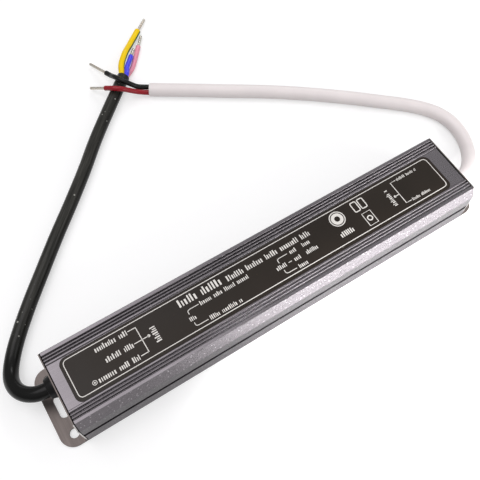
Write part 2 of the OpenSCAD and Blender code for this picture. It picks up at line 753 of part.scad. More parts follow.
module line_choke_windings() {
    arc = 140;
    lift = choke_wire_t + pocket_gap;
    inner = choke_hole_d / 2 - pocket_gap;
    outer = choke_d / 2 + pocket_gap;
    color([0.72, 0.42, 0.2]) translate([choke_at[0], choke_at[1], deck_z])
        for (a = [-arc / 2, 180 - arc / 2]) rotate(a) rotate_extrude(angle = arc) difference() {
            translate([inner - choke_wire_t, 0])
                square([outer - inner + 2 * choke_wire_t, choke_h + 2 * lift]);
            translate([inner, choke_wire_t]) square([outer - inner, choke_h + 2 * pocket_gap]);
        }
}

// Upright rectifier with one cut corner and four legs
module bridge_rectifier() {
    corner = 2.5;
    pitch = 3.8;
    top = stand_off + bridge_h;
    w = bridge_w / 2;
    color([0.1, 0.1, 0.11]) translate([bridge_at[0] - bridge_t / 2, bridge_at[1], deck_z]) {
        along_x(0, bridge_t)
            polygon([[-w, stand_off], [w, stand_off], [w, top], [-w + corner, top], [-w, top - corner]]);
        for (k = [-1.5:1:1.5]) translate([bridge_t / 2 - pin_w / 2, k * pitch - pin_w, 0])
            cube([pin_w, 2 * pin_w, stand_off + 1]);
    }
}

module bulk_capacitors() {
    color([0.16, 0.2, 0.35]) for (s = [-1, 1]) lying_can([bulk_at[0], s * bulk_at[1]], can_d, bulk_l);
}

module switching_transistor() {
    color([0.1, 0.1, 0.11]) flat_package(transistor_at);
}

module control_chip() {
    color([0.1, 0.1, 0.11]) legged_chip(chip_at, chip_size, 4, 1.27);
}

// Two E-shaped halves with their legs along X, the middle leg flatter than the outer two
module transformer_core() {
    color([0.22, 0.22, 0.24]) translate([trafo_at[0], trafo_at[1], trafo_z])
        for (a = [0, 180]) rotate(a) difference() {
            along_x(core_split / 2, trafo_l / 2) square([trafo_w, trafo_h], center = true);
            along_x(0, window_half_l) difference() {
                square([trafo_w - 2 * trafo_leg, trafo_h + 2 * cut], center = true);
                square([trafo_mid_w, trafo_mid_h], center = true);
            }
        }
}

// Bobbin: tube round the middle leg, two flanges, and a rail under each yoke
module transformer_bobbin() {
    tube_l = 2 * (window_half_l - trafo_gap);
    rail_h = flange_half_h - trafo_h / 2;
    color([0.1, 0.1, 0.12]) translate([trafo_at[0], trafo_at[1], trafo_z]) difference() {
        union() {
            along_x(-tube_l / 2, tube_l / 2)
                square([2 * bobbin_half_w, 2 * bobbin_half_h], center = true);
            for (s = [0, 1]) rotate(180 * s) {
                along_x(tube_l / 2 - bobbin_wall, tube_l / 2)
                    square([2 * flange_half_w, 2 * flange_half_h], center = true);
                translate([tube_l / 2 - bobbin_wall, -flange_half_w, -flange_half_h])
                    cube([trafo_leg + bobbin_wall, 2 * flange_half_w, rail_h]);
            }
        }
        translate([-trafo_l, -trafo_mid_w / 2 - trafo_gap, -trafo_mid_h / 2 - trafo_gap])
            cube([2 * trafo_l, trafo_mid_w + 2 * trafo_gap, trafo_mid_h + 2 * trafo_gap]);
    }
}

module transformer_winding() {
    wire_l = 2 * (window_half_l - 2 * trafo_gap - bobbin_wall);
    color([0.8, 0.68, 0.2]) translate([trafo_at[0], trafo_at[1], trafo_z]) along_x(-wire_l / 2, wire_l / 2)
        difference() {
            rounded_rectangle(2 * wire_half_w, 2 * wire_half_h, trafo_wire_t);
            square([2 * (bobbin_half_w + trafo_gap), 2 * (bobbin_half_h + trafo_gap)], center = true);
        }
}

module safety_capacitor() {
    color([0.2, 0.4, 0.75]) standing_disc(safety_at, safety_d, safety_t);
}

module optocoupler() {
    color([0.92, 0.92, 0.9]) legged_chip(opto_at, opto_size, 2, 2.54);
}

module output_rectifier() {
    color([0.1, 0.1, 0.11]) flat_package(rectifier_at);
}

// Drum core: two flanges on a waist
module output_inductor_core() {
    r = inductor_d / 2;
    waist = r / 2;
    color([0.22, 0.22, 0.24]) translate([inductor_at[0], inductor_at[1], deck_z]) {
        cylinder(r = r, h = stand_off);
        cylinder(r = waist, h = inductor_h);
        translate([0, 0, inductor_h - stand_off]) cylinder(r = r, h = stand_off);
    }
}

module output_inductor_winding() {
    r = inductor_d / 2;
    color([0.72, 0.42, 0.2]) translate([inductor_at[0], inductor_at[1], deck_z + stand_off + pocket_gap])
        difference() {
            cylinder(r = r - 0.3, h = inductor_h - 2 * (stand_off + pocket_gap));
            translate([0, 0, -cut]) cylinder(r = r / 2 + pocket_gap, h = inductor_h + 2 * cut);
        }
}

module output_capacitors() {
    color([0.1, 0.25, 0.2]) for (s = [-1, 1])
        lying_can([output_cap_at[0], s * output_cap_at[1]], can_d, output_cap_l);
}

// Wires between the leads' inner ends and the board
tail_x = board_l / 2 - 1.6;
tail_step = 2;

module input_tails() {
    dy = core_ring_r * cos(30);
    color([0.6, 0.35, 0.2]) {
        for (s = [-1, 1]) tail(-inner_end[0], -tail_x + tail_step, exit_y + s * dy, exit_z + core_ring_r / 2);
        tail(-inner_end[0], -tail_x, exit_y, exit_z - core_ring_r);
    }
}

module output_tails() {
    color([0.6, 0.1, 0.1]) for (s = [-1, 1]) tail(inner_end[0], tail_x, -exit_y + s * core_pair_r, exit_z);
}

// Room that the resin leaves for the parts on the board
module part_pockets() {
    g = pocket_gap;
    disc_h = stand_off + thermistor_d;
    package_room = [package_l + 2 * package_leg_l + 2 * g, package_w, package_h];
    on_deck_can(fuse_at, fuse_d, fuse_h, g);
    on_deck_box(thermistor_at, [thermistor_t, thermistor_d, disc_h], g);
    on_deck_box(line_cap_at, [line_cap_l, line_cap_w, line_cap_h], g);
    on_deck_can(choke_at, choke_d + 2 * (choke_wire_t + g), choke_h + 2 * (choke_wire_t + g), g);
    on_deck_box(bridge_at, [bridge_t, bridge_w, stand_off + bridge_h], g);
    for (s = [-1, 1]) {
        lying_can([bulk_at[0], s * bulk_at[1]], can_d, bulk_l, g);
        lying_can([output_cap_at[0], s * output_cap_at[1]], can_d, output_cap_l, g);
    }
    for (at = [transistor_at, rectifier_at]) on_deck_box(at, package_room, g);
    on_deck_box(chip_at, [chip_size[0], chip_size[1] + 2 * pin_out, chip_lift + chip_size[2]], g);
    on_deck_box(opto_at, [opto_size[0], opto_size[1] + 2 * pin_out, chip_lift + opto_size[2]], g);
    on_deck_box(trafo_at, [trafo_l, trafo_w, 2 * flange_half_h], g);
    on_deck_box(safety_at, [safety_t, safety_d, stand_off + safety_d], g);
    on_deck_can(inductor_at, inductor_d, inductor_h, g);
}

// Room that the resin leaves for a lead's inner end and its wires, on the -X side
module lead_pocket(lead_d) {
    g = pocket_gap;
    end_x = -tail_x + tail_step + tail_d / 2 + g;
    translate([-half_l, exit_y, exit_z]) rotate([0, 90, 0])
        cylinder(r = lead_d / 2 + g, h = lead_in + g);
    translate([-inner_end[0], exit_y - lead_d / 2, deck_z])
        cube([end_x + inner_end[0], lead_d, exit_z + lead_d / 2 - deck_z]);
}

// Resin that fills the housing round the parts
module potting() {
    g = pocket_gap;
    color([0.2, 0.2, 0.21]) difference() {
        along_x(-resin_l / 2, resin_l / 2) difference() {
            cavity_outline(resin_gap);
            both_sides() inner_metal(resin_gap);
        }
        translate([-board_l / 2 - g, -board_w / 2 - g, board_z - g])
            cube([board_l + 2 * g, board_w + 2 * g, board_t + g]);
        translate([-board_l / 2 - 3 - g, -cavity_half_w, 0])
            cube([board_l + 6 + 2 * g, 2 * cavity_half_w, floor_wall + sheet_film_t + g]);
        part_pockets();
        lead_pocket(mains_d);
        rotate([0, 0, 180]) lead_pocket(output_d);
    }
}

housing();
label();
input_bracket();
output_bracket();
input_screws();
output_screws();
input_gland();
output_gland();
potting();
insulation_sheet();
circuit_board();
fuse();
inrush_thermistor();
line_capacitor();
line_choke_core();
line_choke_windings();
bridge_rectifier();
bulk_capacitors();
switching_transistor();
control_chip();
transformer_core();
transformer_bobbin();
transformer_winding();
safety_capacitor();
optocoupler();
output_rectifier();
output_inductor_core();
output_inductor_winding();
output_capacitors();
input_tails();
output_tails();
input_cable();
yellow_core();
blue_core();
brown_core();
input_tips();
output_cable();
black_core();
red_core();
output_tips();
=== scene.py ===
"""Dressed model of a sealed slim power supply: a ribbed aluminium extrusion between two bent
end brackets, with a printed label film, a black mains lead and a white output lead.

Lengths are in metres unless a name ends in _mm. X runs from the mains end to the output end,
Y across the housing and Z up from the surface that the feet stand on, as in the CAD model.
"""
import logging
import math
from dataclasses import dataclass, field
from enum import Enum

import bmesh
import bpy
import numpy as np
from mathutils import Matrix


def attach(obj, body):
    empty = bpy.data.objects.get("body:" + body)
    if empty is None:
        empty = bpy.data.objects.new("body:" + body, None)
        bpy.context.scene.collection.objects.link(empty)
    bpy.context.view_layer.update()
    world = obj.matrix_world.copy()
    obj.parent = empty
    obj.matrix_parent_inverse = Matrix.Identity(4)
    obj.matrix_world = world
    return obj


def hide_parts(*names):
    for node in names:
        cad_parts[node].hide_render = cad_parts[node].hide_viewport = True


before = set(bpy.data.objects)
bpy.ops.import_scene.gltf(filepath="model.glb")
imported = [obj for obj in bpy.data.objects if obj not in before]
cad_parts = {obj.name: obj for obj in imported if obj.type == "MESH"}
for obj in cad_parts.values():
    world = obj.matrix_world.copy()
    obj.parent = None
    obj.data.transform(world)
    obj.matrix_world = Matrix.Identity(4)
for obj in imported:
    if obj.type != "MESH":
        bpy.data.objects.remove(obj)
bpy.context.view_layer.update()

log = logging.getLogger("power_supply")

MM = 0.001
BODY = "root"
LAY = "lay"
WELD = 1e-7
EDGE_SHARE = 0.45
FLAT_DEGREES = 0.4
SHARP_DEGREES = 35.0
Array = np.ndarray
Pair = tuple[float, float]
Colour = tuple[float, float, float]
Point = tuple[float, float, float]
Socket = bpy.types.NodeSocket
Source = Socket | Colour | float


def srgb(red: int, green: int, blue: int) -> Colour:
    """Turns a screen colour into the linear colour that a shader takes.

    Args:
        red, green, blue: the colour's parts, from 0 to 255.

    Returns:
        The linear parts: the sRGB curve, which is a power of 2.4 above a short straight toe.
    """
    value = np.array([red, green, blue], float) / 255.0
    linear = np.where(value <= 0.04045, value / 12.92, ((value + 0.055) / 1.055) ** 2.4)
    return tuple(float(part) for part in linear)


def shade(colour: Colour, factor: float) -> Colour:
    """A colour made lighter or darker by a factor."""
    return tuple(min(1.0, part * factor) for part in colour)


def unit(vectors: Array) -> Array:
    """Each vector divided by its length."""
    return vectors / np.linalg.norm(vectors, axis=-1, keepdims=True)


def turns(count: int) -> Array:
    """Angles that divide a full turn into equal steps."""
    return 2 * math.pi * np.arange(count) / count


def run_along(points: Array) -> Array:
    """The distance along a line to each of its points: the sum of the steps before it."""
    return np.concatenate([[0.0], np.cumsum(np.linalg.norm(np.diff(points, axis=0), axis=1))])


# Shapes


@dataclass
class Shape:
    """A surface as points and four-sided faces, with an optional lay: each point's place in the
    straightened piece."""

    points: Array
    quads: Array
    lay: Array | None = None


def joined(shapes: list[Shape]) -> Shape:
    """Puts several shapes into one.

    Args:
        shapes: the shapes, all or none of them with a lay.

    Returns:
        The one shape. Each shape's face numbers are moved on by the number of points before it.
    """
    starts = np.cumsum([0] + [len(shape.points) for shape in shapes[:-1]])
    points = np.concatenate([shape.points for shape in shapes])
    quads = np.concatenate([shape.quads + start for shape, start in zip(shapes, starts)])
    laid = all(shape.lay is not None for shape in shapes)
    return Shape(points, quads, np.concatenate([shape.lay for shape in shapes]) if laid else None)


def grid_quads(rows: int, columns: int, wrap_rows: bool = False) -> Array:
    """Faces of a grid of points, numbered row by row, whose last column joins its first.

    Args:
        rows, columns: the grid's size in points.
        wrap_rows: whether the last row joins the first too.

    Returns:
        One face for each cell: its own point, the next along the row, the one after it in the
        next row, and the one below its own.
    """
    row = np.arange(rows if wrap_rows else rows - 1)[:, None]
    column = np.arange(columns)[None, :]
    next_row, next_column = (row + 1) % rows, (column + 1) % columns
    corners = [row * columns + column, row * columns + next_column,
               next_row * columns + next_column, next_row * columns + column]
    return np.stack(corners, axis=-1).reshape(-1, 4)


def softened(outline: Array, reach: float, steps: int = 3, closed: bool = True) -> Array:
    """Rounds the corners of an outline.

    Each corner becomes a curve from a point `reach` before it to a point `reach` after it, or a
    little less than half the edge if that is shorter. The curve is the quadratic one whose middle
    control point is the corner: (1 - t)^2 first + 2t(1 - t) corner + t^2 last.

    Args:
        outline: the corners, one a row, in any number of dimensions.
        reach: how far from a corner its curve starts.
        steps: the number of pieces in each curve.
        closed: whether the last corner joins the first. The ends of an open line stay sharp.

    Returns:
        The points of the rounded outline.
    """
    def towards(neighbour: Array) -> Array:
        """Goes from each corner a part of the way to a neighbour.

        Args:
            neighbour: each corner's neighbour.

        Returns:
            The points where the curves start or stop.
        """
        way = neighbour - outline
        length = np.linalg.norm(way, axis=1, keepdims=True)
        return outline + way * (np.minimum(reach, EDGE_SHARE * length) / np.maximum(length, WELD))

    first = towards(np.roll(outline, 1, axis=0))[:, None]
    last = towards(np.roll(outline, -1, axis=0))[:, None]
    t = np.linspace(0.0, 1.0, steps + 1)[None, :, None]
    curve = (1 - t) ** 2 * first + 2 * t * (1 - t) * outline[:, None] + t**2 * last
    if closed:
        return curve.reshape(-1, outline.shape[1])
    inner = curve[1:-1].reshape(-1, outline.shape[1])
    return np.concatenate([outline[:1], inner, outline[-1:]])


def smooth_route(corners: Array, spacing: float) -> Array:
    """A smooth line through chosen points, with its points evenly spaced.

    Between each two chosen points runs the cubic of Hermite form, whose direction at a point is
    the line between its two neighbours, so the line passes through every chosen point without a
    kink. Time along it runs with the straight distance between the points.

    Args:
        corners: the chosen points, in order.
        spacing: the rough distance between the points of the result.

    Returns:
        The points of the smooth line.
    """
    fine_steps = 12 * len(corners)
    step = np.linalg.norm(np.diff(corners, axis=0), axis=1)
    time = run_along(corners)
    slope = np.gradient(corners, time, axis=0)
    fine = np.linspace(0.0, time[-1], fine_steps)
    k = np.clip(np.searchsorted(time, fine, side="right") - 1, 0, len(step) - 1)
    t, span = ((fine - time[k]) / step[k])[:, None], step[k][:, None]
    curve = ((2 * t**3 - 3 * t**2 + 1) * corners[k] + (t**3 - 2 * t**2 + t) * span * slope[k]
             + (3 * t**2 - 2 * t**3) * corners[k + 1] + (t**3 - t**2) * span * slope[k + 1])
    run = run_along(curve)
    even = np.linspace(0.0, run[-1], max(2, int(round(run[-1] / spacing)) + 1))
    return np.stack([np.interp(even, run, curve[:, axis]) for axis in range(3)], axis=1)


class Line:
    """A line in space that gives its place and its two side directions at any distance along it."""

    def __init__(self, points: Array) -> None:
        """Measures the line.

        Args:
            points: the line's points, close together.
        """
        self.points = points
        self.run = run_along(points)
        self.length = float(self.run[-1])
        self.heads = unit(np.gradient(points, self.run, axis=0))

    def at(self, stations: Array) -> tuple[Array, Array, Array, Array]:
        """Places and directions at distances along the line.

        The side direction is level: the heading crossed with straight up. The upward one is the
        side crossed with the heading. Past an end the line goes straight on.

        Args:
            stations: distances from the line's start.

        Returns:
            The places, headings, side directions and upward directions, one a row.
        """
        inside = np.clip(stations, 0.0, self.length)
        place, head = (np.stack([np.interp(inside, self.run, rows[:, i]) for i in range(3)], axis=1)
                       for rows in (self.points, self.heads))
        head = unit(head)
        side = unit(np.cross(head, [0.0, 0.0, 1.0]))
        return place + head * (stations - inside)[:, None], head, side, np.cross(side, head)


def sleeve(line: Line, stations: Array, radii: Array, sides: int) -> Shape:
    """A round skin along a line.

    The point at station s and angle a lies at the line's place there, plus the radius times
    cosine a of the side direction and sine a of the upward one. A radius of nothing closes an end.

    Args:
        line: the middle line.
        stations: the distance along the line of each ring, which may turn back into a bore.
        radii: the radius of each ring, or of each point of each ring.
        sides: the number of points in a ring.

    Returns:
        The skin. Each point's lay is its place in a straight wire of the same length.
    """
    angle = turns(sides)
    place, _, side, up = line.at(stations)
    radius = np.broadcast_to(radii if radii.ndim == 2 else radii[:, None], (len(stations), sides))
    across, upward = radius * np.cos(angle), radius * np.sin(angle)
    points = place[:, None] + across[..., None] * side[:, None] + upward[..., None] * up[:, None]
    along = np.broadcast_to(stations[:, None], across.shape)
    lay = np.stack([across, upward, along], axis=-1)
    return Shape(points.reshape(-1, 3), grid_quads(len(stations), sides), lay.reshape(-1, 3))


def lathe(profile: Array, centre: Array, axis: Array, sides: int) -> Shape:
    """A closed outline of distance and radius turned round an axis.

    The point at angle a lies at the centre, plus its distance along the axis, plus its radius
    times cosine a and sine a of two directions square to the axis.

    Args:
        profile: the outline, as rows of distance along the axis and radius.
        centre: the point on the axis where the distance is nothing.
        axis: the axis, of length one and level.
        sides: the number of steps round it.

    Returns:
        The turned ring.
    """
    angle = turns(sides)[None, :, None]
    up = np.array([0.0, 0.0, 1.0])
    spoke = np.cos(angle) * np.cross(axis, up) + np.sin(angle) * up
    points = centre + profile[:, None, :1] * axis + profile[:, None, 1:] * spoke
    return Shape(points.reshape(-1, 3), grid_quads(len(profile), sides, wrap_rows=True))


def prisms(middles: Array, halves: Array, angles: Array, bottom: float, top: float) -> Shape:
    """Flat blocks, all of one thickness, that lie level.

    A corner lies at the block's middle, plus its half length along the block's own direction
    (cosine, sine of its angle), plus its half width square to that.

    Args:
        middles: X and Y of each block's middle.
        halves: half the length and half the width of each block.
        angles: the angle of each block's length, in radians.
        bottom, top: the heights of the two faces.

    Returns:
        The blocks, with eight points and six faces each.
    """
    signs = np.array([[-1, -1], [1, -1], [1, 1], [-1, 1]], float)
    along = np.stack([np.cos(angles), np.sin(angles)], axis=1)[:, None]
    square = np.stack([-np.sin(angles), np.cos(angles)], axis=1)[:, None]
    corner = (middles[:, None] + signs[None, :, :1] * halves[:, None, :1] * along
              + signs[None, :, 1:] * halves[:, None, 1:] * square)
    layers = [np.concatenate([corner, np.full((*corner.shape[:2], 1), z)], axis=2)
              for z in (bottom, top)]
    block = np.array([[0, 3, 2, 1], [4, 5, 6, 7], [0, 1, 5, 4], [1, 2, 6, 5], [2, 3, 7, 6],
                      [3, 0, 4, 7]])
    quads = (8 * np.arange(len(middles))[:, None, None] + block[None]).reshape(-1, 4)
    return Shape(np.concatenate(layers, axis=1).reshape(-1, 3), quads)


def ribbon(path: Array, width: float, bottom: float, top: float, closed: bool = False) -> Shape:
    """A flat line of even width along a level path.

    Each point of the path gives four corners: half the width to either side of it, below and
    above. The side direction is square to the line between its two neighbours.

    Args:
        path: X and Y of the path's points.
        width: the width of the line.
        bottom, top: the heights of its two faces.
        closed: whether the path's last point joins its first.

    Returns:
        The line as a closed band, or as a bar with two end faces.
    """
    if closed:
        head = unit(np.roll(path, -1, axis=0) - np.roll(path, 1, axis=0))
    else:
        head = unit(np.gradient(path, axis=0))
    side = np.stack([-head[:, 1], head[:, 0]], axis=1) * width / 2
    edges = np.stack([path + side, path - side, path - side, path + side], axis=1)
    heights = np.broadcast_to(np.array([bottom, bottom, top, top])[:, None], (len(path), 4, 1))
    quads = grid_quads(len(path), 4, wrap_rows=closed)
    if not closed:
        last = 4 * (len(path) - 1)
        quads = np.concatenate([quads, [[0, 3, 2, 1], [last, last + 1, last + 2, last + 3]]])
    return Shape(np.concatenate([edges, heights], axis=2).reshape(-1, 3), quads)


def disc(centre: Pair, inner: float, outer: float, bottom: float, top: float) -> Shape:
    """A flat ring, or a round dot where the inner radius is nothing.

    An outline of four corners is turned round the centre: each point lies at its radius times
    cosine and sine of its angle.

    Args:
        centre: X and Y of the middle.
        inner, outer: the two radii.
        bottom, top: the heights of the two faces.

    Returns:
        The ring or dot.
    """
    sides = 40
    angle = turns(sides)[None, :]
    radius = np.array([inner, outer, outer, inner])[:, None]
    height = np.broadcast_to(np.array([bottom, bottom, top, top])[:, None], (4, sides))
    points = np.stack([centre[0] + radius * np.cos(angle), centre[1] + radius * np.sin(angle),
                       height], axis=-1)
    return Shape(points.reshape(-1, 3), grid_quads(4, sides, wrap_rows=inner > 0))


# Shader nodes


class Nodes:
    """The nodes of a material or of the world, with short calls that add and link them."""

    def __init__(self, tree: bpy.types.NodeTree) -> None:
        """Takes the tree that the nodes go into."""
        self.tree = tree

    def put(self, target: Socket, value: Source) -> None:
        """Gives an input what it takes.

        Args:
            target: the input.
            value: another node's output, which is linked, or a fixed number, place or colour.
        """
        if isinstance(value, Socket):
            self.tree.links.new(value, target)
        else:
            target.default_value = (*value, 1.0) if target.type == "RGBA" else value

    def node(self, kind: str, inputs: dict[str | int, Source] | None = None,
             **settings: object) -> bpy.types.Node:
        """Adds a node.

        Args:
            kind: the node's type.
            inputs: what its inputs take, by their names or numbers.
            settings: the node's own properties.

        Returns:
            The node.
        """
        made = self.tree.nodes.new(kind)
        for key, value in settings.items():
            setattr(made, key, value)
        for key, value in (inputs or {}).items():
            self.put(made.inputs[key], value)
        return made

    def parts(self, vector: Socket) -> list[Socket]:
        """The three parts of a place or direction, along X, Y and Z."""
        return list(self.node("ShaderNodeSeparateXYZ", {0: vector}).outputs)

    def sums(self, kind: str, first: Source, second: Source = 0.0) -> Socket:
        """One sum of two sources or numbers."""
        return self.node("ShaderNodeMath", {0: first, 1: second}, operation=kind).outputs[0]

    def times(self, first: Source, second: Source) -> Socket:
        """The product of two sources or numbers."""
        return self.sums("MULTIPLY", first, second)

    def spread(self, source: Socket, low: float, high: float, to_low: float = 0.0,
               to_high: float = 1.0) -> Socket:
        """Carries the range low to high over to another, and holds it there past its ends."""
        return self.node("ShaderNodeMapRange", {"Value": source, "From Min": low, "From Max": high,
                                                "To Min": to_low, "To Max": to_high}).outputs[0]

    def tint(self, share: Source, first: Source, second: Source) -> Socket:
        """A mix of two colours by a share from 0 to 1."""
        inputs = {0: share, 6: first, 7: second}
        return self.node("ShaderNodeMix", inputs, data_type="RGBA").outputs[2]

    def blend(self, share: Source, first: Source, second: Source) -> Socket:
        """A mix of two numbers by a share from 0 to 1."""
        inputs = {0: share, 2: first, 3: second}
        return self.node("ShaderNodeMix", inputs, data_type="FLOAT").outputs[0]


class Graph(Nodes):
    """A new material's nodes, which end in the principled shader."""

    def __init__(self, name: str) -> None:
        """Starts the material.

        Args:
            name: the material's name.
        """
        self.material = bpy.data.materials.new(name)
        self.material.use_nodes = True
        super().__init__(self.material.node_tree)
        self.shader = self.tree.nodes["Principled BSDF"]

    def set(self, **values: Source) -> None:
        """Gives the shader's inputs, named with underscores for spaces, what they take."""
        for key, value in values.items():
            self.put(self.shader.inputs[key.replace("_", " ")], value)

    def place(self, stretch: Point = (1.0, 1.0, 1.0), attribute: str = "") -> Socket:
        """Adds the place on the object, in metres, or the piece's own lay.

        Args:
            stretch: what the place is multiplied by along each axis.
            attribute: the lay's name, or nothing for the place on the object.

        Returns:
            The stretched place.
        """
        if attribute:
            source = self.node("ShaderNodeAttribute", attribute_name=attribute).outputs["Vector"]
        else:
            source = self.node("ShaderNodeTexCoord").outputs["Object"]
        return self.node("ShaderNodeMapping", {"Vector": source, "Scale": stretch}).outputs[0]

    def facing(self) -> tuple[Socket, Socket]:
        """How far the surface faces along X and along Z, each from 0 to 1."""
        x, _, z = self.parts(self.node("ShaderNodeTexCoord").outputs["Normal"])
        return self.sums("ABSOLUTE", x), self.sums("ABSOLUTE", z)

    def noise(self, place: Socket, scale: float, detail: float = 3.0, rough: float = 0.5) -> Socket:
        """Soft noise from 0 to 1 with that many waves in a metre."""
        return self.node("ShaderNodeTexNoise", {"Vector": place, "Scale": scale, "Detail": detail,
                                                "Roughness": rough}).outputs[0]

    def cells(self, place: Socket, scale: float) -> Socket:
        """Distance to the nearest of scattered points, with that many of them along a metre."""
        return self.node("ShaderNodeTexVoronoi", {"Vector": place, "Scale": scale}).outputs[0]

    def clouded(self, noise: Socket, colour: Colour, cloud: float, low: float = 0.3) -> Socket:
        """A colour made darker and lighter by a share, as a noise goes from low to 1 - low."""
        return self.tint(self.spread(noise, low, 1.0 - low), shade(colour, 1 - cloud),
                         shade(colour, 1 + cloud))

    def relief(self, *layers: tuple[Socket, float]) -> None:
        """Gives the shader bumps, one on top of the other.

        Args:
            layers: the height, from 0 to 1, and the depth in metres of each.
        """
        below: dict[str | int, Source] = {}
        for height, depth in layers:
            bump = self.node("ShaderNodeBump", {"Distance": depth, "Height": height, **below})
            below = {"Normal": bump.outputs["Normal"]}
        self.set(**below)


# Finishes. Every scale is in waves, or in scattered points, along a metre.


@dataclass(frozen=True)
class Finish:
    """What every finish has: a name, a colour and a roughness. Each kind draws its own nodes."""

    name: str
    colour: Colour
    roughness: float = 0.5
    shine: float = 0.5

    def material(self) -> bpy.types.Material:
        """The finish's material, made once.

        Returns:
            The material. Its name differs from those of the CAD's own materials.
        """
        full_name = f"{self.name}_finish"
        if full_name not in bpy.data.materials:
            graph = Graph(full_name)
            graph.set(Specular_IOR_Level=self.shine)
            self.draw(graph)
        return bpy.data.materials[full_name]

    def draw(self, graph: Graph) -> None:
        """Draws the nodes. Each kind of finish does this."""
        raise NotImplementedError

    def rough(self, graph: Graph, source: Socket, low: float, high: float, below: float,
              above: float) -> Socket:
        """The roughness, from below to above the finish's own as a source goes from low to high."""
        return graph.spread(source, low, high, self.roughness - below, self.roughness + above)


class Grain(Enum):
    """The direction of a metal's drawn or rolled lines, as stretches of noise along the axes."""

    ALONG_X = (0.012, 1.0, 1.0)
    ALONG_Y = (1.0, 0.012, 1.0)
    EVEN = (1.0, 1.0, 1.0)


@dataclass(frozen=True)
class Metal(Finish):
    """Bare metal with drawn lines, a fine matt etch, faint clouds and small bright nicks.

    The rim is how much of the metal's shine stays at a low angle.
    """

    grain: Grain = Grain.EVEN
    line_scale: float = 4200.0
    line_depth: float = 3e-6
    line_share: float = 0.35
    line_shade: float = 0.62
    etch_scale: float = 7000.0
    etch_depth: float = 4e-6
    cloud_scale: float = 60.0
    cloud: float = 0.10
    nick_scale: float = 420.0
    nick_patches: float = 90.0
    nick_shade: float = 1.7
    nicks: float = 0.5
    rim: float = 1.0

    def draw(self, graph: Graph) -> None:
        """Lines and etch move the colour, roughness and relief; nicks are bright, smooth specks.

        Args:
            graph: the material's nodes.
        """
        still = graph.place()
        lines, etch = self.lines(graph, still), graph.noise(still, self.etch_scale, 2.0, 0.6)
        base = graph.clouded(graph.noise(still, self.cloud_scale), self.colour, self.cloud)
        lined = graph.tint(graph.spread(lines, 0.35, 0.65, 0.0, self.line_share), base,
                           shade(self.colour, self.line_shade))
        patches = graph.spread(graph.noise(still, self.nick_patches), 0.52, 0.6)
        speck = graph.spread(graph.cells(still, self.nick_scale), 0.07, 0.11, self.nicks, 0.0)
        plain = graph.tint(graph.times(speck, patches), lined,
                           shade(self.colour, self.nick_shade))
        graph.set(Base_Color=self.treated(graph, still, plain), Metallic=1.0,
                  Specular_Tint=(self.rim, self.rim, self.rim),
                  Roughness=self.rough(graph, graph.sums("ADD", etch, lines), 0.6, 1.4, 0.07, 0.07))
        graph.relief((lines, self.line_depth), (etch, self.etch_depth))

    def lines(self, graph: Graph, still: Socket) -> Socket:
        """The drawn lines, as noise that is stretched along them."""
        return graph.noise(graph.place(self.grain.value), self.line_scale, 3.0, 0.6)

    def treated(self, graph: Graph, still: Socket, plain: Socket) -> Socket:
        """The colour with what only some faces have. Plain metal has nothing of the kind."""
        return plain


@dataclass(frozen=True, kw_only=True)
class BlastedMetal(Metal):
    """Drawn metal whose steep faces are blasted to a grit and whose end faces are darkened with
    painted shade.
    """

    blasted: Colour
    grit: float = 0.35
    blast_scale: float = 1500.0
    blast_share: float = 0.85
    grain_scale: float = 1700.0
    grain_shade: float = 0.5
    painted_glint_scale: float = 900.0
    painted_glint_shade: float = 2.8
    foot: Pair = (0.0066, 0.0074)
    painted_lower_light: float = 1.25
    painted_end_shade: float = 0.2

    def steep(self, graph: Graph) -> Socket:
        """One on steep faces and nothing on level ones."""
        return graph.spread(graph.facing()[1], 0.6, 0.9, 1.0, 0.0)

    def lines(self, graph: Graph, still: Socket) -> Socket:
        """The drawn lines, which on steep faces give way to an even noise.

        Args:
            graph: the material's nodes.
            still: the place on the object.

        Returns:
            The lines' height.
        """
        share = graph.times(self.steep(graph), self.blast_share)
        even = graph.noise(still, self.blast_scale, 2.0, 0.7)
        return graph.blend(share, super().lines(graph, still), even)

    def treated(self, graph: Graph, still: Socket, plain: Socket) -> Socket:
        """The blasted colour has dark grains and painted glints as light sparks, is lighter below
        the channel as a painted reflection, and has painted shade on its end faces.

        Args:
            graph: the material's nodes.
            still: the place on the object.
            plain: the colour of the level faces.

        Returns:
            The colour of all faces.
        """
        # Painted reflection: the side below the channel is made lighter, as if it caught a brighter
        # floor.
        low = graph.spread(graph.parts(still)[2], *self.foot, 1.0, 0.0)
        grains = graph.spread(graph.noise(still, self.grain_scale, 2.0, 0.7), 0.35, 0.65, 0.0,
                              self.grit)
        blast = graph.tint(grains,
                           graph.tint(low, self.blasted, shade(self.blasted, self.painted_lower_light)),
                           shade(self.blasted, self.grain_shade))
        # Painted glints: scattered light sparks on the blasted steep faces.
        painted_glint = graph.spread(graph.cells(still, self.painted_glint_scale), 0.12, 0.24, 2.0 * self.grit, 0.0)
        sides = graph.tint(self.steep(graph), plain,
                           graph.tint(painted_glint, blast, shade(self.blasted, self.painted_glint_shade)))
        # Painted shade: faces along X at the tube's ends are darkened, for the shaded seam against
        # the end plates.
        return graph.tint(graph.spread(graph.facing()[0], 0.03, 0.2), sides,
                          shade(self.colour, self.painted_end_shade))


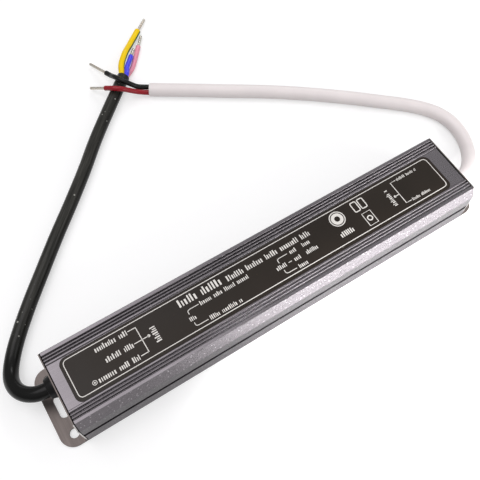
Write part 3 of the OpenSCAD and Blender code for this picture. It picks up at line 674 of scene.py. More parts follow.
@dataclass(frozen=True, kw_only=True)
class CutSheet(Metal):
    """Rolled sheet whose cut edges, above the foot, are lighter than its faces: partly bare sheared
    metal, partly a painted glint.
    """

    cut_edge_and_glint: Colour
    foot: Pair = (0.0022, 0.0045)

    def treated(self, graph: Graph, still: Socket, plain: Socket) -> Socket:
        """The cut edges face neither along X nor upwards.

        Args:
            graph: the material's nodes.
            still: the place on the object.
            plain: the colour of the faces.

        Returns:
            The colour of faces and edges.
        """
        across, up = graph.facing()
        edge = graph.times(graph.spread(across, 0.45, 0.6, 1.0, 0.0),
                           graph.spread(up, 0.55, 0.7, 1.0, 0.0))
        above = graph.spread(graph.parts(still)[2], *self.foot)
        # The lighter edge colour is partly bare metal and partly a painted glint.
        return graph.tint(graph.times(edge, above), plain, self.cut_edge_and_glint)


@dataclass(frozen=True)
class Film(Finish):
    """The label's printed film: a dark satin sheet with a fine tooth, faint clouds and dust."""

    cloud_scale: float = 45.0
    cloud: float = 0.16
    tooth_scale: float = 5200.0
    tooth_depth: float = 2.5e-6
    wave_scale: float = 130.0
    wave_depth: float = 2.5e-5
    dust_scale: float = 260.0
    dust: float = 0.45
    dust_shade: float = 3.2

    def draw(self, graph: Graph) -> None:
        """Clouds and dust move the colour; two noises give the sheet's waviness and its tooth.

        Args:
            graph: the material's nodes.
        """
        still = graph.place()
        clouds = graph.noise(still, self.cloud_scale, 4.0)
        dust = graph.spread(graph.cells(still, self.dust_scale), 0.035, 0.06, self.dust, 0.0)
        graph.set(Base_Color=graph.tint(dust, graph.clouded(clouds, self.colour, self.cloud),
                                        shade(self.colour, self.dust_shade)),
                  Roughness=self.rough(graph, clouds, 0.3, 0.7, 0.06, 0.06))
        graph.relief((graph.noise(still, self.wave_scale, 1.0), self.wave_depth),
                     (graph.noise(still, self.tooth_scale, 2.0), self.tooth_depth))


@dataclass(frozen=True)
class Ink(Finish):
    """Screen-printed ink, a little thin in places."""

    fine_scale: float = 2600.0
    fine_depth: float = 3e-6
    thin_shade: float = 0.82

    def draw(self, graph: Graph) -> None:
        """A fine noise thins the ink and roughens its edge-on look.

        Args:
            graph: the material's nodes.
        """
        fine = graph.noise(graph.place(), self.fine_scale, 3.0, 0.7)
        inked = graph.tint(graph.spread(fine, 0.3, 0.6), shade(self.colour, self.thin_shade),
                           self.colour)
        graph.set(Base_Color=inked, Roughness=self.roughness)
        graph.relief((fine, self.fine_depth))


@dataclass(frozen=True)
class Jacket(Finish):
    """Extruded cable plastic: faint drag lines along it, soft swellings, a fine skin and a dull
    film of dust."""

    swell: float = 2e-5
    swell_scale: float = 240.0
    skin: float = 3e-6
    skin_scale: float = 5000.0
    drag_scale: float = 1500.0
    dust: float = 0.12
    dust_scale: float = 90.0

    def draw(self, graph: Graph) -> None:
        """The lay of the piece carries the noises, so the lines follow the bends.

        Args:
            graph: the material's nodes.
        """
        plain = graph.place(attribute=LAY)
        drag = graph.noise(graph.place((1.0, 1.0, 0.05), LAY), self.drag_scale)
        soft, skin = (graph.noise(plain, scale, 2.0)
                      for scale in (self.swell_scale, self.skin_scale))
        mottle = graph.noise(plain, self.dust_scale, 4.0, 0.6)
        base = graph.clouded(mottle, self.colour, self.dust, 0.35)
        dull = self.rough(graph, graph.sums("ADD", drag, mottle), 0.7, 1.3, 0.06, 0.08)
        graph.set(Base_Color=self.marked(graph, plain, drag, base), Roughness=dull)
        graph.relief((soft, self.swell), (drag, self.skin * 2), (skin, self.skin))

    def marked(self, graph: Graph, plain: Socket, drag: Socket, base: Socket) -> Socket:
        """The colour with the jacket's marks. A plain jacket has none."""
        return base


@dataclass(frozen=True, kw_only=True)
class StripedJacket(Jacket):
    """A jacket with a stripe along it, on the side that a turn round the wire names."""

    stripe: Colour
    turn: float
    start_mm: float

    def marked(self, graph: Graph, plain: Socket, drag: Socket, base: Socket) -> Socket:
        """Adds the stripe.

        It starts where the lay's part along the stripe's own direction, which is cosine of the
        turn times X plus sine of the turn times Y, passes a limit.

        Args:
            graph: the material's nodes.
            plain: the piece's lay.
            drag: the drag lines.
            base: the colour without marks.

        Returns:
            The colour with the stripe.
        """
        x, y, _ = graph.parts(plain)
        away = graph.sums("ADD", graph.times(x, math.cos(self.turn)),
                          graph.times(y, math.sin(self.turn)))
        start = self.start_mm * MM
        return graph.tint(graph.spread(away, start, start * 1.15), base, self.stripe)


@dataclass(frozen=True, kw_only=True)
class DustAndSheenJacket(Jacket):
    """A jacket that is lighter on the faces that turn up or down, from a length along it on: partly
    dust, partly a painted sheen where the straight run catches the light from above.
    """

    dust_and_sheen_from: float
    fade: float = 0.012
    dust_and_sheen: tuple[Colour, Colour] = (srgb(34, 34, 31), srgb(58, 57, 53))
    speck: Colour = srgb(200, 198, 190)
    speck_scale: float = 420.0
    speck_patches: float = 70.0

    def marked(self, graph: Graph, plain: Socket, drag: Socket, base: Socket) -> Socket:
        """Adds the dust and painted sheen, which follow the drag lines, and light dust specks in
        patches of it.

        Args:
            graph: the material's nodes.
            plain: the piece's lay.
            drag: the drag lines.
            base: the colour without marks.

        Returns:
            The colour with powder and specks.
        """
        along = graph.spread(graph.parts(plain)[2], self.dust_and_sheen_from, self.dust_and_sheen_from + self.fade)
        # Dust and painted sheen: lighter where the lead faces up or down, from a length along it
        # on.
        dust_and_sheen_mask = graph.times(along, graph.spread(graph.facing()[1], 0.3, 0.9))
        base = graph.tint(dust_and_sheen_mask, base, graph.tint(graph.spread(drag, 0.35, 0.65), *self.dust_and_sheen))
        speck = graph.spread(graph.cells(plain, self.speck_scale), 0.10, 0.18, 0.7, 0.0)
        patches = graph.spread(graph.noise(plain, self.speck_patches), 0.50, 0.55)
        return graph.tint(graph.times(graph.times(speck, patches), dust_and_sheen_mask), base, self.speck)


@dataclass(frozen=True)
class Strands(Finish):
    """Tinned copper strands: bright metal that is duller here and there."""

    copper: Colour = srgb(196, 160, 130)
    tin_scale: float = 900.0
    fine_scale: float = 4000.0
    fine_depth: float = 1e-5

    def draw(self, graph: Graph) -> None:
        """Noise along the wire dulls the tin and lets a little copper show.

        Args:
            graph: the material's nodes.
        """
        lay = graph.place((1.0, 1.0, 0.3), LAY)
        tin, fine = graph.noise(lay, self.tin_scale), graph.noise(lay, self.fine_scale, 2.0)
        graph.set(Base_Color=graph.tint(graph.spread(tin, 0.4, 0.75, 0.0, 0.5), self.colour,
                                        self.copper),
                  Roughness=self.rough(graph, fine, 0.3, 0.7, 0.08, 0.1), Metallic=1.0)
        graph.relief((fine, self.fine_depth))


@dataclass(frozen=True)
class Moulded(Finish):
    """Moulded, cast or dipped material with a grain, faint clouds and small pits."""

    grain_scale: float = 2500.0
    grain_depth: float = 8e-6
    cloud_scale: float = 120.0
    cloud: float = 0.12
    pit_share: float = 1 / 6
    metallic: float = 0.0

    def draw(self, graph: Graph) -> None:
        """Grain gives relief and roughness, clouds the colour.

        Args:
            graph: the material's nodes.
        """
        still = graph.place()
        grain = graph.noise(still, self.grain_scale, 3.0, 0.6)
        clouds = graph.noise(still, self.cloud_scale, 4.0, 0.6)
        pits = graph.spread(graph.cells(still, self.grain_scale * self.pit_share), 0.05, 0.12)
        base = graph.clouded(clouds, self.colour, self.cloud)
        graph.set(Base_Color=self.banded(graph, still, base), Metallic=self.metallic,
                  Roughness=self.rough(graph, grain, 0.3, 0.7, 0.07, 0.07))
        graph.relief((grain, self.grain_depth), (pits, self.grain_depth))

    def banded(self, graph: Graph, still: Socket, base: Socket) -> Socket:
        """The colour with the finish's bands. A plain one has none."""
        return base


@dataclass(frozen=True, kw_only=True)
class Banded(Moulded):
    """A finish with narrow bands along X, as turns of wire, overlaps of tape or a woven layer."""

    band: Colour
    step: float
    share: float

    def banded(self, graph: Graph, still: Socket, base: Socket) -> Socket:
        """Adds the bands: X over the step, less its whole part, is above the share in a band.

        Args:
            graph: the material's nodes.
            still: the place on the object.
            base: the colour between the bands.

        Returns:
            The colour with the bands.
        """
        part = graph.sums("FRACT", graph.sums("DIVIDE", graph.parts(still)[0], self.step))
        return graph.tint(graph.spread(part, self.share, self.share + 0.03), base, self.band)


EXTRUSION = BlastedMetal("extruded_aluminium", srgb(113, 109, 112), 0.28, grain=Grain.ALONG_X,
                         rim=0.62, blasted=srgb(112, 108, 111))
SHEET_METAL = CutSheet("bracket_sheet", srgb(103, 96, 93), 0.44, grain=Grain.ALONG_Y,
                       line_scale=3000.0, cut_edge_and_glint=srgb(200, 196, 194))
SCREW_METAL = Metal("zinc_screw", srgb(176, 176, 180), 0.30, nicks=0.2)
LABEL_FILM = Film("label_film", srgb(31, 23, 15), 0.38, shine=0.22)
LABEL_INK = Ink("label_ink", srgb(236, 232, 226), 0.5)
GLAND_RUBBER = Moulded("gland_rubber", srgb(9, 9, 9), 0.36, shine=0.18, grain_scale=1800.0,
                       grain_depth=6e-6)
BLACK_JACKET = DustAndSheenJacket("black_jacket", srgb(6, 6, 5), 0.22, shine=0.18, swell=4e-5,
                             dust_and_sheen_from=0.032)
WHITE_JACKET = Jacket("white_jacket", srgb(239, 231, 230), 0.40, swell=3e-5, dust=0.02)
YELLOW_WIRE = StripedJacket("yellow_wire", srgb(254, 213, 0), 0.34, shine=0.25, dust=0.04,
                            stripe=srgb(44, 92, 30), turn=-0.5, start_mm=0.72)
BLUE_WIRE = Jacket("blue_wire", srgb(74, 72, 238), 0.34, shine=0.4, dust=0.05)
BROWN_WIRE = Jacket("brown_wire", srgb(238, 152, 172), 0.34, dust=0.05)
BLACK_WIRE = Jacket("black_wire", srgb(12, 12, 12), 0.28, shine=0.25)
RED_WIRE = Jacket("red_wire", srgb(150, 8, 28), 0.30, shine=0.35, dust=0.06)
TINNED = Strands("tinned_copper", srgb(200, 198, 190), 0.28)

FERRITE = Moulded("ferrite", srgb(58, 56, 58), 0.62, grain_scale=3200.0, grain_depth=1.5e-5,
                  cloud=0.2)
COPPER_WIRE = Banded("copper_wire", srgb(196, 110, 66), 0.32, grain_scale=3000.0, metallic=0.9,
                     band=srgb(120, 58, 34), step=0.0005, share=0.8)
CHIP_EPOXY = Moulded("chip_epoxy", srgb(34, 34, 36), 0.55, grain_scale=5200.0, grain_depth=1e-5)
CAP_SLEEVE = Moulded("capacitor_sleeve", srgb(28, 34, 52), 0.28, grain_scale=700.0,
                     grain_depth=6e-6)

INSIDE_FINISHES: dict[str, Finish] = {
    "potting": Moulded("potting_resin", srgb(38, 36, 36), 0.30, grain_scale=400.0,
                       grain_depth=4e-5),
    "insulation_sheet": Moulded("insulation_film", srgb(214, 190, 120), 0.35, grain_scale=900.0,
                                grain_depth=3e-6),
    "circuit_board": Banded("board_laminate", srgb(34, 98, 58), 0.38, grain_scale=1600.0,
                            grain_depth=1e-5, band=srgb(28, 78, 46), step=0.0035, share=0.55),
    "fuse": Moulded("fuse_case", srgb(222, 214, 190), 0.40, grain_depth=3e-6),
    "inrush_thermistor": Moulded("thermistor_coat", srgb(30, 62, 44), 0.35, grain_scale=900.0,
                                 grain_depth=2e-5),
    "line_capacitor": Moulded("film_capacitor_case", srgb(226, 186, 60), 0.42, grain_depth=5e-6),
    "line_choke_core": FERRITE,
    "line_choke_windings": COPPER_WIRE,
    "bridge_rectifier": CHIP_EPOXY,
    "bulk_capacitors": CAP_SLEEVE,
    "switching_transistor": CHIP_EPOXY,
    "control_chip": CHIP_EPOXY,
    "transformer_core": FERRITE,
    "transformer_bobbin": Moulded("bobbin_plastic", srgb(40, 40, 42), 0.42, grain_scale=2600.0),
    "transformer_winding": Banded("winding_tape", srgb(232, 200, 70), 0.26, grain_scale=600.0,
                                  grain_depth=8e-6, band=srgb(214, 178, 52), step=0.005,
                                  share=0.9),
    "safety_capacitor": Moulded("blue_coat", srgb(60, 96, 176), 0.32, grain_scale=800.0,
                                grain_depth=2e-5),
    "optocoupler": Moulded("white_epoxy", srgb(226, 226, 220), 0.50, grain_scale=4200.0,
                           grain_depth=6e-6),
    "output_rectifier": CHIP_EPOXY,
    "output_inductor_core": FERRITE,
    "output_inductor_winding": COPPER_WIRE,
    "output_capacitors": CAP_SLEEVE,
    "input_tails": Moulded("brown_tail", srgb(112, 66, 40), 0.36, grain_scale=1500.0,
                           grain_depth=4e-6),
    "output_tails": Moulded("red_tail", srgb(170, 26, 34), 0.36, grain_scale=1500.0,
                            grain_depth=4e-6),
}


# Putting pieces into the scene


def linked(name: str, data: bpy.types.ID) -> bpy.types.Object:
    """Makes an object of a mesh, a light or a camera and puts it into the scene.

    Args:
        name: the object's name.
        data: what it shows.

    Returns:
        The object, at the origin.
    """
    made = bpy.data.objects.new(name, data)
    bpy.context.scene.collection.objects.link(made)
    return made


def clean(mesh: bpy.types.Mesh, reach: float, flat_degrees: float = 0.0) -> None:
    """Merges points that lie together, which closes seams and poles, and turns faces outwards.

    Args:
        mesh: the mesh to clean.
        reach: the distance under which points are merged.
        flat_degrees: the angle under which neighbouring faces are joined, or nothing.
    """
    work = bmesh.new()
    work.from_mesh(mesh)
    bmesh.ops.remove_doubles(work, verts=work.verts, dist=reach)
    if flat_degrees:
        bmesh.ops.dissolve_limit(work, angle_limit=math.radians(flat_degrees), verts=work.verts,
                                 edges=work.edges)
    bmesh.ops.recalc_face_normals(work, faces=work.faces)
    work.to_mesh(mesh)
    work.free()


def dress(piece: bpy.types.Object, finish: Finish) -> None:
    """Gives every material slot of a piece one finish, and makes a slot where there is none.

    Args:
        piece: the piece or CAD node.
        finish: its finish.
    """
    if not piece.material_slots:
        piece.data.materials.append(None)
    for place in piece.material_slots:
        place.material = finish.material()


def settle(piece: bpy.types.Object, finish: Finish, stands_for: tuple[str, ...]) -> None:
    """Dresses a new piece and ties it to the frame.

    Args:
        piece: the piece.
        finish: its finish.
        stands_for: the CAD nodes that it replaces.
    """
    dress(piece, finish)
    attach(piece, BODY)
    if stands_for:
        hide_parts(*stands_for)
    log.info("%s: %d faces, %s", piece.name, len(piece.data.polygons), finish.name)


def add_piece(name: str, shape: Shape, finish: Finish,
              stands_for: tuple[str, ...] = (), smooth: bool = True) -> bpy.types.Object:
    """Makes a shape a piece of the object.

    Args:
        name: the piece's name.
        shape: its surface, in metres.
        finish: its finish.
        stands_for: the CAD nodes that it replaces.
        smooth: whether its faces are shaded as one smooth surface.

    Returns:
        The piece.
    """
    mesh = bpy.data.meshes.new(name)
    mesh.from_pydata(shape.points.tolist(), [], shape.quads.tolist())
    if shape.lay is not None:
        lay = mesh.attributes.new(LAY, "FLOAT_VECTOR", "POINT")
        lay.data.foreach_set("vector", shape.lay.ravel())
    clean(mesh, WELD)
    piece = linked(name, mesh)
    if smooth:
        mesh.shade_smooth()
        piece.modifiers.new("even_shading", "WEIGHTED_NORMAL")
    settle(piece, finish, stands_for)
    return piece


def bevelled_copy(node: str, finish: Finish, width: float) -> bpy.types.Object:
    """Makes a piece from a CAD node's surface, with its sharp edges broken.

    The copy's loose triangles are merged and flat neighbours joined, so that the bevel finds only
    the real edges.

    Args:
        node: the CAD node, which the piece replaces.
        finish: the piece's finish.
        width: the width of the broken edges.

    Returns:
        The piece.
    """
    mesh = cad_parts[node].data.copy()
    mesh.name = f"{node}_dressed"
    clean(mesh, 10 * WELD, FLAT_DEGREES)
    mesh.shade_smooth()
    piece = linked(mesh.name, mesh)
    bevel = piece.modifiers.new("broken_edges", "BEVEL")
    bevel.width, bevel.segments = width, 2
    bevel.limit_method, bevel.angle_limit = "ANGLE", math.radians(SHARP_DEGREES)
    piece.modifiers.new("even_shading", "WEIGHTED_NORMAL")
    settle(piece, finish, (node,))
    return piece


# The camera and the leads


class End(Enum):
    """The two ends of the housing, by the sign of X."""

    MAINS = -1
    OUTPUT = 1

    def node(self, what: str) -> str:
        """The name of this end's CAD node or piece of a kind."""
        return f"{'input' if self is End.MAINS else 'output'}_{what}"


@dataclass
class ViewCamera:
    """The camera at the photograph's viewing place, with its frame's three directions."""

    place: Point = (-0.06131, -0.06776, 0.22001)
    right: Point = (0.84675170, -0.53143809, 0.02418931)
    down: Point = (-0.46699504, -0.76431358, -0.44468008)
    ahead: Point = (0.25480815, 0.36523733, -0.89536278)
    focal_mm: float = 47.08
    film_mm: float = 36.0
    shift: Pair = (-0.0010, 0.0010)
    near: float = 0.005
    far: float = 20.0

    def build(self) -> None:
        """Makes the camera and looks through it. The columns of its turn are the frame's right,
        up and backward directions. The shift is half a pixel, from a corner to the middle."""
        data = bpy.data.cameras.new("view")
        data.lens, data.sensor_width = self.focal_mm, self.film_mm
        data.shift_x, data.shift_y = self.shift
        data.clip_start, data.clip_end = self.near, self.far
        camera = linked("view", data)
        turn = np.stack([self.right, -np.array(self.down), -np.array(self.ahead)], axis=1)
        camera.matrix_world = Matrix.Translation(self.place) @ Matrix(turn.tolist()).to_4x4()
        bpy.context.scene.camera = camera


@dataclass
class Core:
    """One insulated wire of a lead, and its tinned end, from the lead's cut end on.

    The wire leaves the cut end at a distance and an angle from the middle of the lead. Its route
    repeats the part's own points, in metres. The cut edge is the point between the wire's side
    and its cut face: how far it lies before the cut and inside the side. Between two strands the
    tip's radius falls by the share that the lobes and the groove factor give together.
    """

    name: str
    finish: Finish
    slot: str
    turn: float
    offset: float
    route: list[Point]
    tip_length: float
    tip_lobes: float = 0.06
    diameter: float = 0.0022
    tip_diameter: float = 0.0013
    inside: float = 0.0004
    straight: float = 0.0012
    spacing: float = 0.0004
    sides: int = 20
    start_mm: float = 0.05
    cut_round: float = 0.00008
    cut_edge_mm: Pair = (0.025, 0.02)
    cut_bore: float = 0.00035
    bore_gap_mm: float = 0.03
    strands: int = 7
    strand_sides: int = 6
    groove_factor: float = 2.6
    twist: float = 0.009
    dome_mm: float = 0.5
    tip_inside_mm: float = 0.3
    tip_spacing_mm: float = 0.25
    line: Line = field(init=False)

    def lead_out(self, lead: Line) -> None:
        """Settles the wire's middle line.

        Args:
            lead: the lead's middle line.
        """
        end, head, side, up = (part[0] for part in lead.at(np.array([lead.length])))
        angle = math.radians(self.turn)
        start = (end + self.start_mm * MM * head
                 + self.offset * (math.cos(angle) * side + math.sin(angle) * up))
        corners = [start - self.inside * head, start + self.straight * head, *self.route]
        self.line = Line(smooth_route(np.array(corners), self.spacing))

    def build(self) -> bpy.types.Object:
        """Makes the wire's insulation.

        Its radius is even and rounded at the cut. Then it steps in to the tinned end's and goes
        back into a short bore, where a pole closes it.

        Returns:
            The piece.
        """
        radius, length = self.diameter / 2, self.line.length
        bore = self.tip_diameter / 2 + self.bore_gap_mm * MM
        before, within = np.array(self.cut_edge_mm) * MM
        body = np.linspace(0.0, length - self.cut_round, int(length / self.spacing) + 2)
        end = length - np.array([before, 0.0, 0.0, self.cut_bore, self.cut_bore])
        radii = np.concatenate([[0.0], np.full(len(body), radius),
                                [radius - within, radius - self.cut_round, bore, bore, 0.0]])
        skin = sleeve(self.line, np.concatenate([[0.0], body, end]), radii, self.sides)
        return add_piece(f"{self.name}_wire", skin, self.finish, (f"{self.name}_core",))

    def tip(self) -> Shape:
        """The tinned strands, twisted together.

        The radius at angle a and distance s is the tip's own less a share of it that follows
        1 - |cos(n a / 2 - n pi s / twist)|, which makes n ridges that turn once in the twist's
        length. Over the dome's length it falls to nothing as the square root of 1 - x^2.

        Returns:
            The strands' skin.
        """
        sides, dome_length = self.strand_sides * self.strands, self.dome_mm * MM
        along = np.linspace(-self.tip_inside_mm * MM, self.tip_length,
                            int(self.tip_length / (self.tip_spacing_mm * MM)) + 2)
        far = np.clip((along - self.tip_length + dome_length) / dome_length, 0.0, 1.0)
        turned = self.strands * math.pi * along[:, None] / self.twist
        ridge = 1 - np.abs(np.cos(self.strands / 2 * turns(sides)[None, :] - turned))
        dome = np.sqrt(np.maximum(1 - far**2, 0.0))
        groove = self.groove_factor * self.tip_lobes * ridge
        radii = self.tip_diameter / 2 * (1 - groove) * dome[:, None]
        radii = np.concatenate([np.zeros((1, sides)), radii])
        stations = self.line.length + np.concatenate([along[:1], along])
        return sleeve(self.line, stations, radii, sides)


@dataclass
class Lead:
    """A round lead that leaves one end of the housing through its gland, with its bare wires.

    Its route repeats the part's own points, in metres. The first lies inside the housing. The
    waves are the length of each slow swelling and its number of crests round the lead. The edges
    are points between the side and the cut face, and between that and the bore: how far each lies
    before the cut, and how far inside the side or outside the bore.
    """

    end: End
    route: list[Point]
    cores: list[Core]
    diameter: float
    finish: Finish
    slot: str
    exit: Point
    seed: int
    sides: int = 40
    bore: float = 0.00262
    recess: float = 0.0005
    cut_round: float = 0.00015
    cut_edge_mm: tuple[Pair, ...] = ((0.09, 0.01), (0.035, 0.05))
    bore_edge_mm: Pair = (0.04, 0.05)
    spacing: float = 0.0007
    swell: float = 1.5e-5
    waves: tuple[tuple[float, int], ...] = ((0.023, 0), (0.0107, 2), (0.0049, 3))
    line: Line = field(init=False)

    def __post_init__(self) -> None:
        """Settles the middle line of the lead and of its wires."""
        self.line = Line(smooth_route(np.array(self.route), self.spacing))
        for core in self.cores:
            core.lead_out(self.line)

    def jacket(self) -> Shape:
        """The lead's skin with its cut end.

        The radius swells by about a hundredth of a millimetre, as the mean of three slow sine
        waves of the distance and the angle, of random phase. At the cut it is rounded, steps in
        to the bore and goes back by the recess, where a pole closes it.

        Returns:
            The skin, as a sleeve along the middle line.
        """
        radius, length, sides = self.diameter / 2, self.line.length, self.sides
        before, within = np.array(self.cut_edge_mm).T * MM
        bore_before, bore_outside = np.array(self.bore_edge_mm) * MM
        body = np.linspace(0.0, length - self.cut_round, int(length / self.spacing))
        phases = np.random.default_rng(self.seed).uniform(0, 2 * math.pi, len(self.waves))
        wave = sum(np.sin(2 * math.pi * body[:, None] / step + crests * turns(sides) + phase)
                   for (step, crests), phase in zip(self.waves, phases))
        skin = radius - 0.5 * self.swell + self.swell * wave / len(self.waves)
        end = length - np.array([*before, 0.0, 0.0, bore_before, self.recess, self.recess])
        rim = np.array([*(radius - within), radius - self.cut_round, self.bore + bore_outside,
                        self.bore, self.bore, 0.0])
        radii = np.concatenate([np.zeros((1, sides)), skin, np.repeat(rim[:, None], sides, axis=1)])
        return sleeve(self.line, np.concatenate([[0.0], body, end]), radii, sides)

    def build(self) -> None:
        piece = add_piece(self.end.node("lead"), self.jacket(), self.finish,
                          (self.end.node("cable"),))
        wires = [core.build() for core in self.cores]
        tips = add_piece(self.end.node("strands"), joined([core.tip() for core in self.cores]),
                         TINNED, (self.end.node("tips"),))


def mains_lead() -> Lead:
    """The black mains lead and its yellow, blue and brown wires.

    Returns:
        The lead, not yet built.
    """
    yellow = Core("yellow", YELLOW_WIRE, "core_yellow", 170, 0.00122, [
        (0.0008, 0.1209, 0.0036), (0.0052, 0.1262, 0.0040), (0.0106, 0.1318, 0.0023),
        (0.0178, 0.1381, 0.0015)], tip_length=0.0086, diameter=0.0028)
    blue = Core("blue", BLUE_WIRE, "core_blue", 38, 0.00152, [
        (0.0028, 0.1192, 0.0037), (0.0053, 0.1222, 0.0032), (0.0077, 0.1250, 0.0028)],
        tip_length=0.005)
    brown = Core("brown", BROWN_WIRE, "core_brown", 302, 0.00152, [
        (0.0054, 0.1198, 0.0012), (0.0092, 0.1242, 0.0012), (0.0137, 0.1298, 0.0012)],
        tip_length=0.0065)
    route = [
        (-0.0780, 0.0045, 0.0100), (-0.0820, 0.0045, 0.0100), (-0.0856, 0.0045, 0.0100),
        (-0.0890, 0.0051, 0.0097), (-0.0919, 0.0069, 0.0088), (-0.0940, 0.0095, 0.0075),
        (-0.0951, 0.0126, 0.0060), (-0.0952, 0.0159, 0.0046), (-0.0943, 0.0192, 0.0036),
        (-0.0926, 0.0226, 0.0030), (-0.0902, 0.0262, 0.0028), (-0.0864, 0.0309, 0.0028),
        (-0.0800, 0.0380, 0.0028), (-0.0700, 0.0482, 0.0028), (-0.0590, 0.0592, 0.0028),
        (-0.0480, 0.0697, 0.0028), (-0.0370, 0.0806, 0.0028), (-0.0260, 0.0922, 0.0028),
        (-0.0132, 0.1045, 0.0028), (-0.0008, 0.1160, 0.0028)]
    return Lead(End.MAINS, route, [yellow, blue, brown], 0.0054, BLACK_JACKET, "jacket_black",
                exit=(-0.0855, 0.0045, 0.0100), seed=5)


def output_lead() -> Lead:
    """The white output lead and its black and red wires.

    Returns:
        The lead, not yet built.
    """
    black = Core("black", BLACK_WIRE, "core_black", 20, 0.0012, [
        (0.0014, 0.1071, 0.0043), (-0.0011, 0.1086, 0.0061), (-0.0034, 0.1110, 0.0072),
        (-0.0048, 0.1140, 0.0069), (-0.0057, 0.1179, 0.0049), (-0.0066, 0.1209, 0.0041)],
        tip_length=0.0115, tip_lobes=0.03)
    red = Core("red", RED_WIRE, "core_red", 200, 0.0012, [
        (0.0004, 0.1053, 0.0033), (-0.0028, 0.1063, 0.0052), (-0.0060, 0.1074, 0.0070),
        (-0.0081, 0.1088, 0.0071), (-0.0096, 0.1105, 0.0064), (-0.0110, 0.1124, 0.0053)],
        tip_length=0.009, tip_lobes=0.11)
    route = [
        (0.0780, -0.0045, 0.0100), (0.0820, -0.0045, 0.0100), (0.0858, -0.0045, 0.0100),
        (0.0896, -0.0040, 0.0098), (0.0934, -0.0023, 0.0090), (0.0972, 0.0004, 0.0078),
        (0.1008, 0.0038, 0.0062), (0.1039, 0.0078, 0.0047), (0.1064, 0.0124, 0.0036),
        (0.1078, 0.0176, 0.0030), (0.1076, 0.0230, 0.0030), (0.1058, 0.0284, 0.0030),
        (0.1024, 0.0334, 0.0030), (0.0974, 0.0386, 0.0030), (0.0900, 0.0450, 0.0030),
        (0.0780, 0.0550, 0.0030), (0.0640, 0.0658, 0.0030), (0.0490, 0.0763, 0.0030),
        (0.0340, 0.0858, 0.0030), (0.0190, 0.0953, 0.0030), (0.0056, 0.1037, 0.0030)]
    return Lead(End.OUTPUT, route, [black, red], 0.0058, WHITE_JACKET, "jacket_white",
                exit=(0.0855, -0.0045, 0.0100), seed=11)


# The shell


@dataclass
class Housing:
    """The extruded tube: a panel between two bands of ribs, a bevel and a channel on each side.

    The side points run from the outermost rib over the bevel and the channel to the floor.
    """

    mains_end: float = -0.08185
    output_end: float = 0.0820
    half_width: float = 0.015
    height: float = 0.020
    panel_half: float = 0.00835
    panel_level: float = 0.0195
    groove_middles: tuple[float, ...] = (0.009475, 0.010575, 0.011675)
    groove_width: float = 0.00046
    groove_depth: float = 0.0009
    flank: float = 0.00023
    flank_slope: float = 0.75
    side_mm: tuple[Pair, ...] = (
        (11.9, 19.85), (12.1, 20), (13.15, 20), (15, 15.7), (14.9, 9.3), (13.2, 9.2), (13.2, 6.4),
        (14.85, 6.9), (15, 0.4), (14.6, 0))
    corner: float = 0.00005
    end_round: float = 0.00012
    end_bow: float = 0.3
    wall: float = 0.001
    # The dark rings at the tube's ends stand for the shade in the seam against each end plate:
    # painted shade.
    shade_ring_sunk: float = 0.00004
    mains_seal: float = 0.00028
    output_seal: float = 0.00010

    def half_outline(self) -> Array:
        """The section's corners on the +Y side, from the panel's middle to the floor.

        Between two grooves a rib has a narrow crest and two equal flanks, which fall by the slope
        times their width.

        Returns:
            Y and Z of the corners.
        """
        half = self.groove_width / 2
        middles = np.array(self.groove_middles)
        low, high = np.array([self.panel_half, *(middles[:-1] + half)]), middles - half
        zero = np.zeros_like(low)
        drop, floor = zero + self.flank * self.flank_slope, zero + self.groove_depth
        across = np.stack([low, low + self.flank, high - self.flank, high, high,
                           high + self.groove_width], axis=1)
        below = np.stack([drop, zero, zero, drop, floor, floor], axis=1)
        ribs = np.stack([across, self.height - below], axis=2).reshape(-1, 2)
        panel = np.array([[0.0, self.panel_level], [self.panel_half, self.panel_level]])
        return np.concatenate([panel, ribs, np.array(self.side_mm) * MM])

    def ring(self, start: float, stop: float, inset: Array, back: Array) -> Shape:
        """A closed tube between two places along X.

        The section's outline, its corners softened, is carried along X. At each end it shrinks
        towards the section's middle, from the outer face to the inner wall, which runs back
        through the tube.

        Args:
            start, stop: the tube's two ends.
            inset: how far the outline is drawn in, from the inner wall to the outer face.
            back: how far each of these outlines lies behind the end.

        Returns:
            The tube's surface.
        """
        half = self.half_outline()
        loop = softened(np.concatenate([half, (half * [-1, 1])[:0:-1]]), self.corner)
        middle = np.array([0.0, self.height / 2])
        insets = np.concatenate([inset, inset[::-1]])
        places = np.concatenate([start + back, (stop - back)[::-1]])
        scale = 1 - insets[:, None, None] / np.array([self.half_width, self.height / 2])
        section = middle + (loop - middle)[None] * scale
        x = np.broadcast_to(places[:, None, None], (*section.shape[:2], 1))
        points = np.concatenate([x, section], axis=2).reshape(-1, 3)
        return Shape(points, grid_quads(len(places), len(loop), wrap_rows=True))

    def build(self) -> None:
        """Makes the tube, whose ends are slightly rounded, and a thin dark rubber ring between it
        and each end plate: painted shade for the seam there."""
        bow = self.end_bow * self.end_round
        inset, back = np.array([[self.wall, self.end_round, bow, 0.0],
                                [0.0, 0.0, bow, self.end_round]])
        add_piece("extrusion", self.ring(self.mains_end, self.output_end, inset, back), EXTRUSION,
                  ("housing",))
        # Painted shade: a thin dark ring fills the seam at each end.
        sunk, flat = np.array([self.wall, self.shade_ring_sunk]), np.zeros(2)
        shade_rings = {End.MAINS: (self.mains_end - self.mains_seal, self.mains_end),
                 End.OUTPUT: (self.output_end, self.output_end + self.output_seal)}
        for end, (start, stop) in shade_rings.items():
            add_piece(end.node("seal"), self.ring(start, stop, sunk, flat), GLAND_RUBBER)


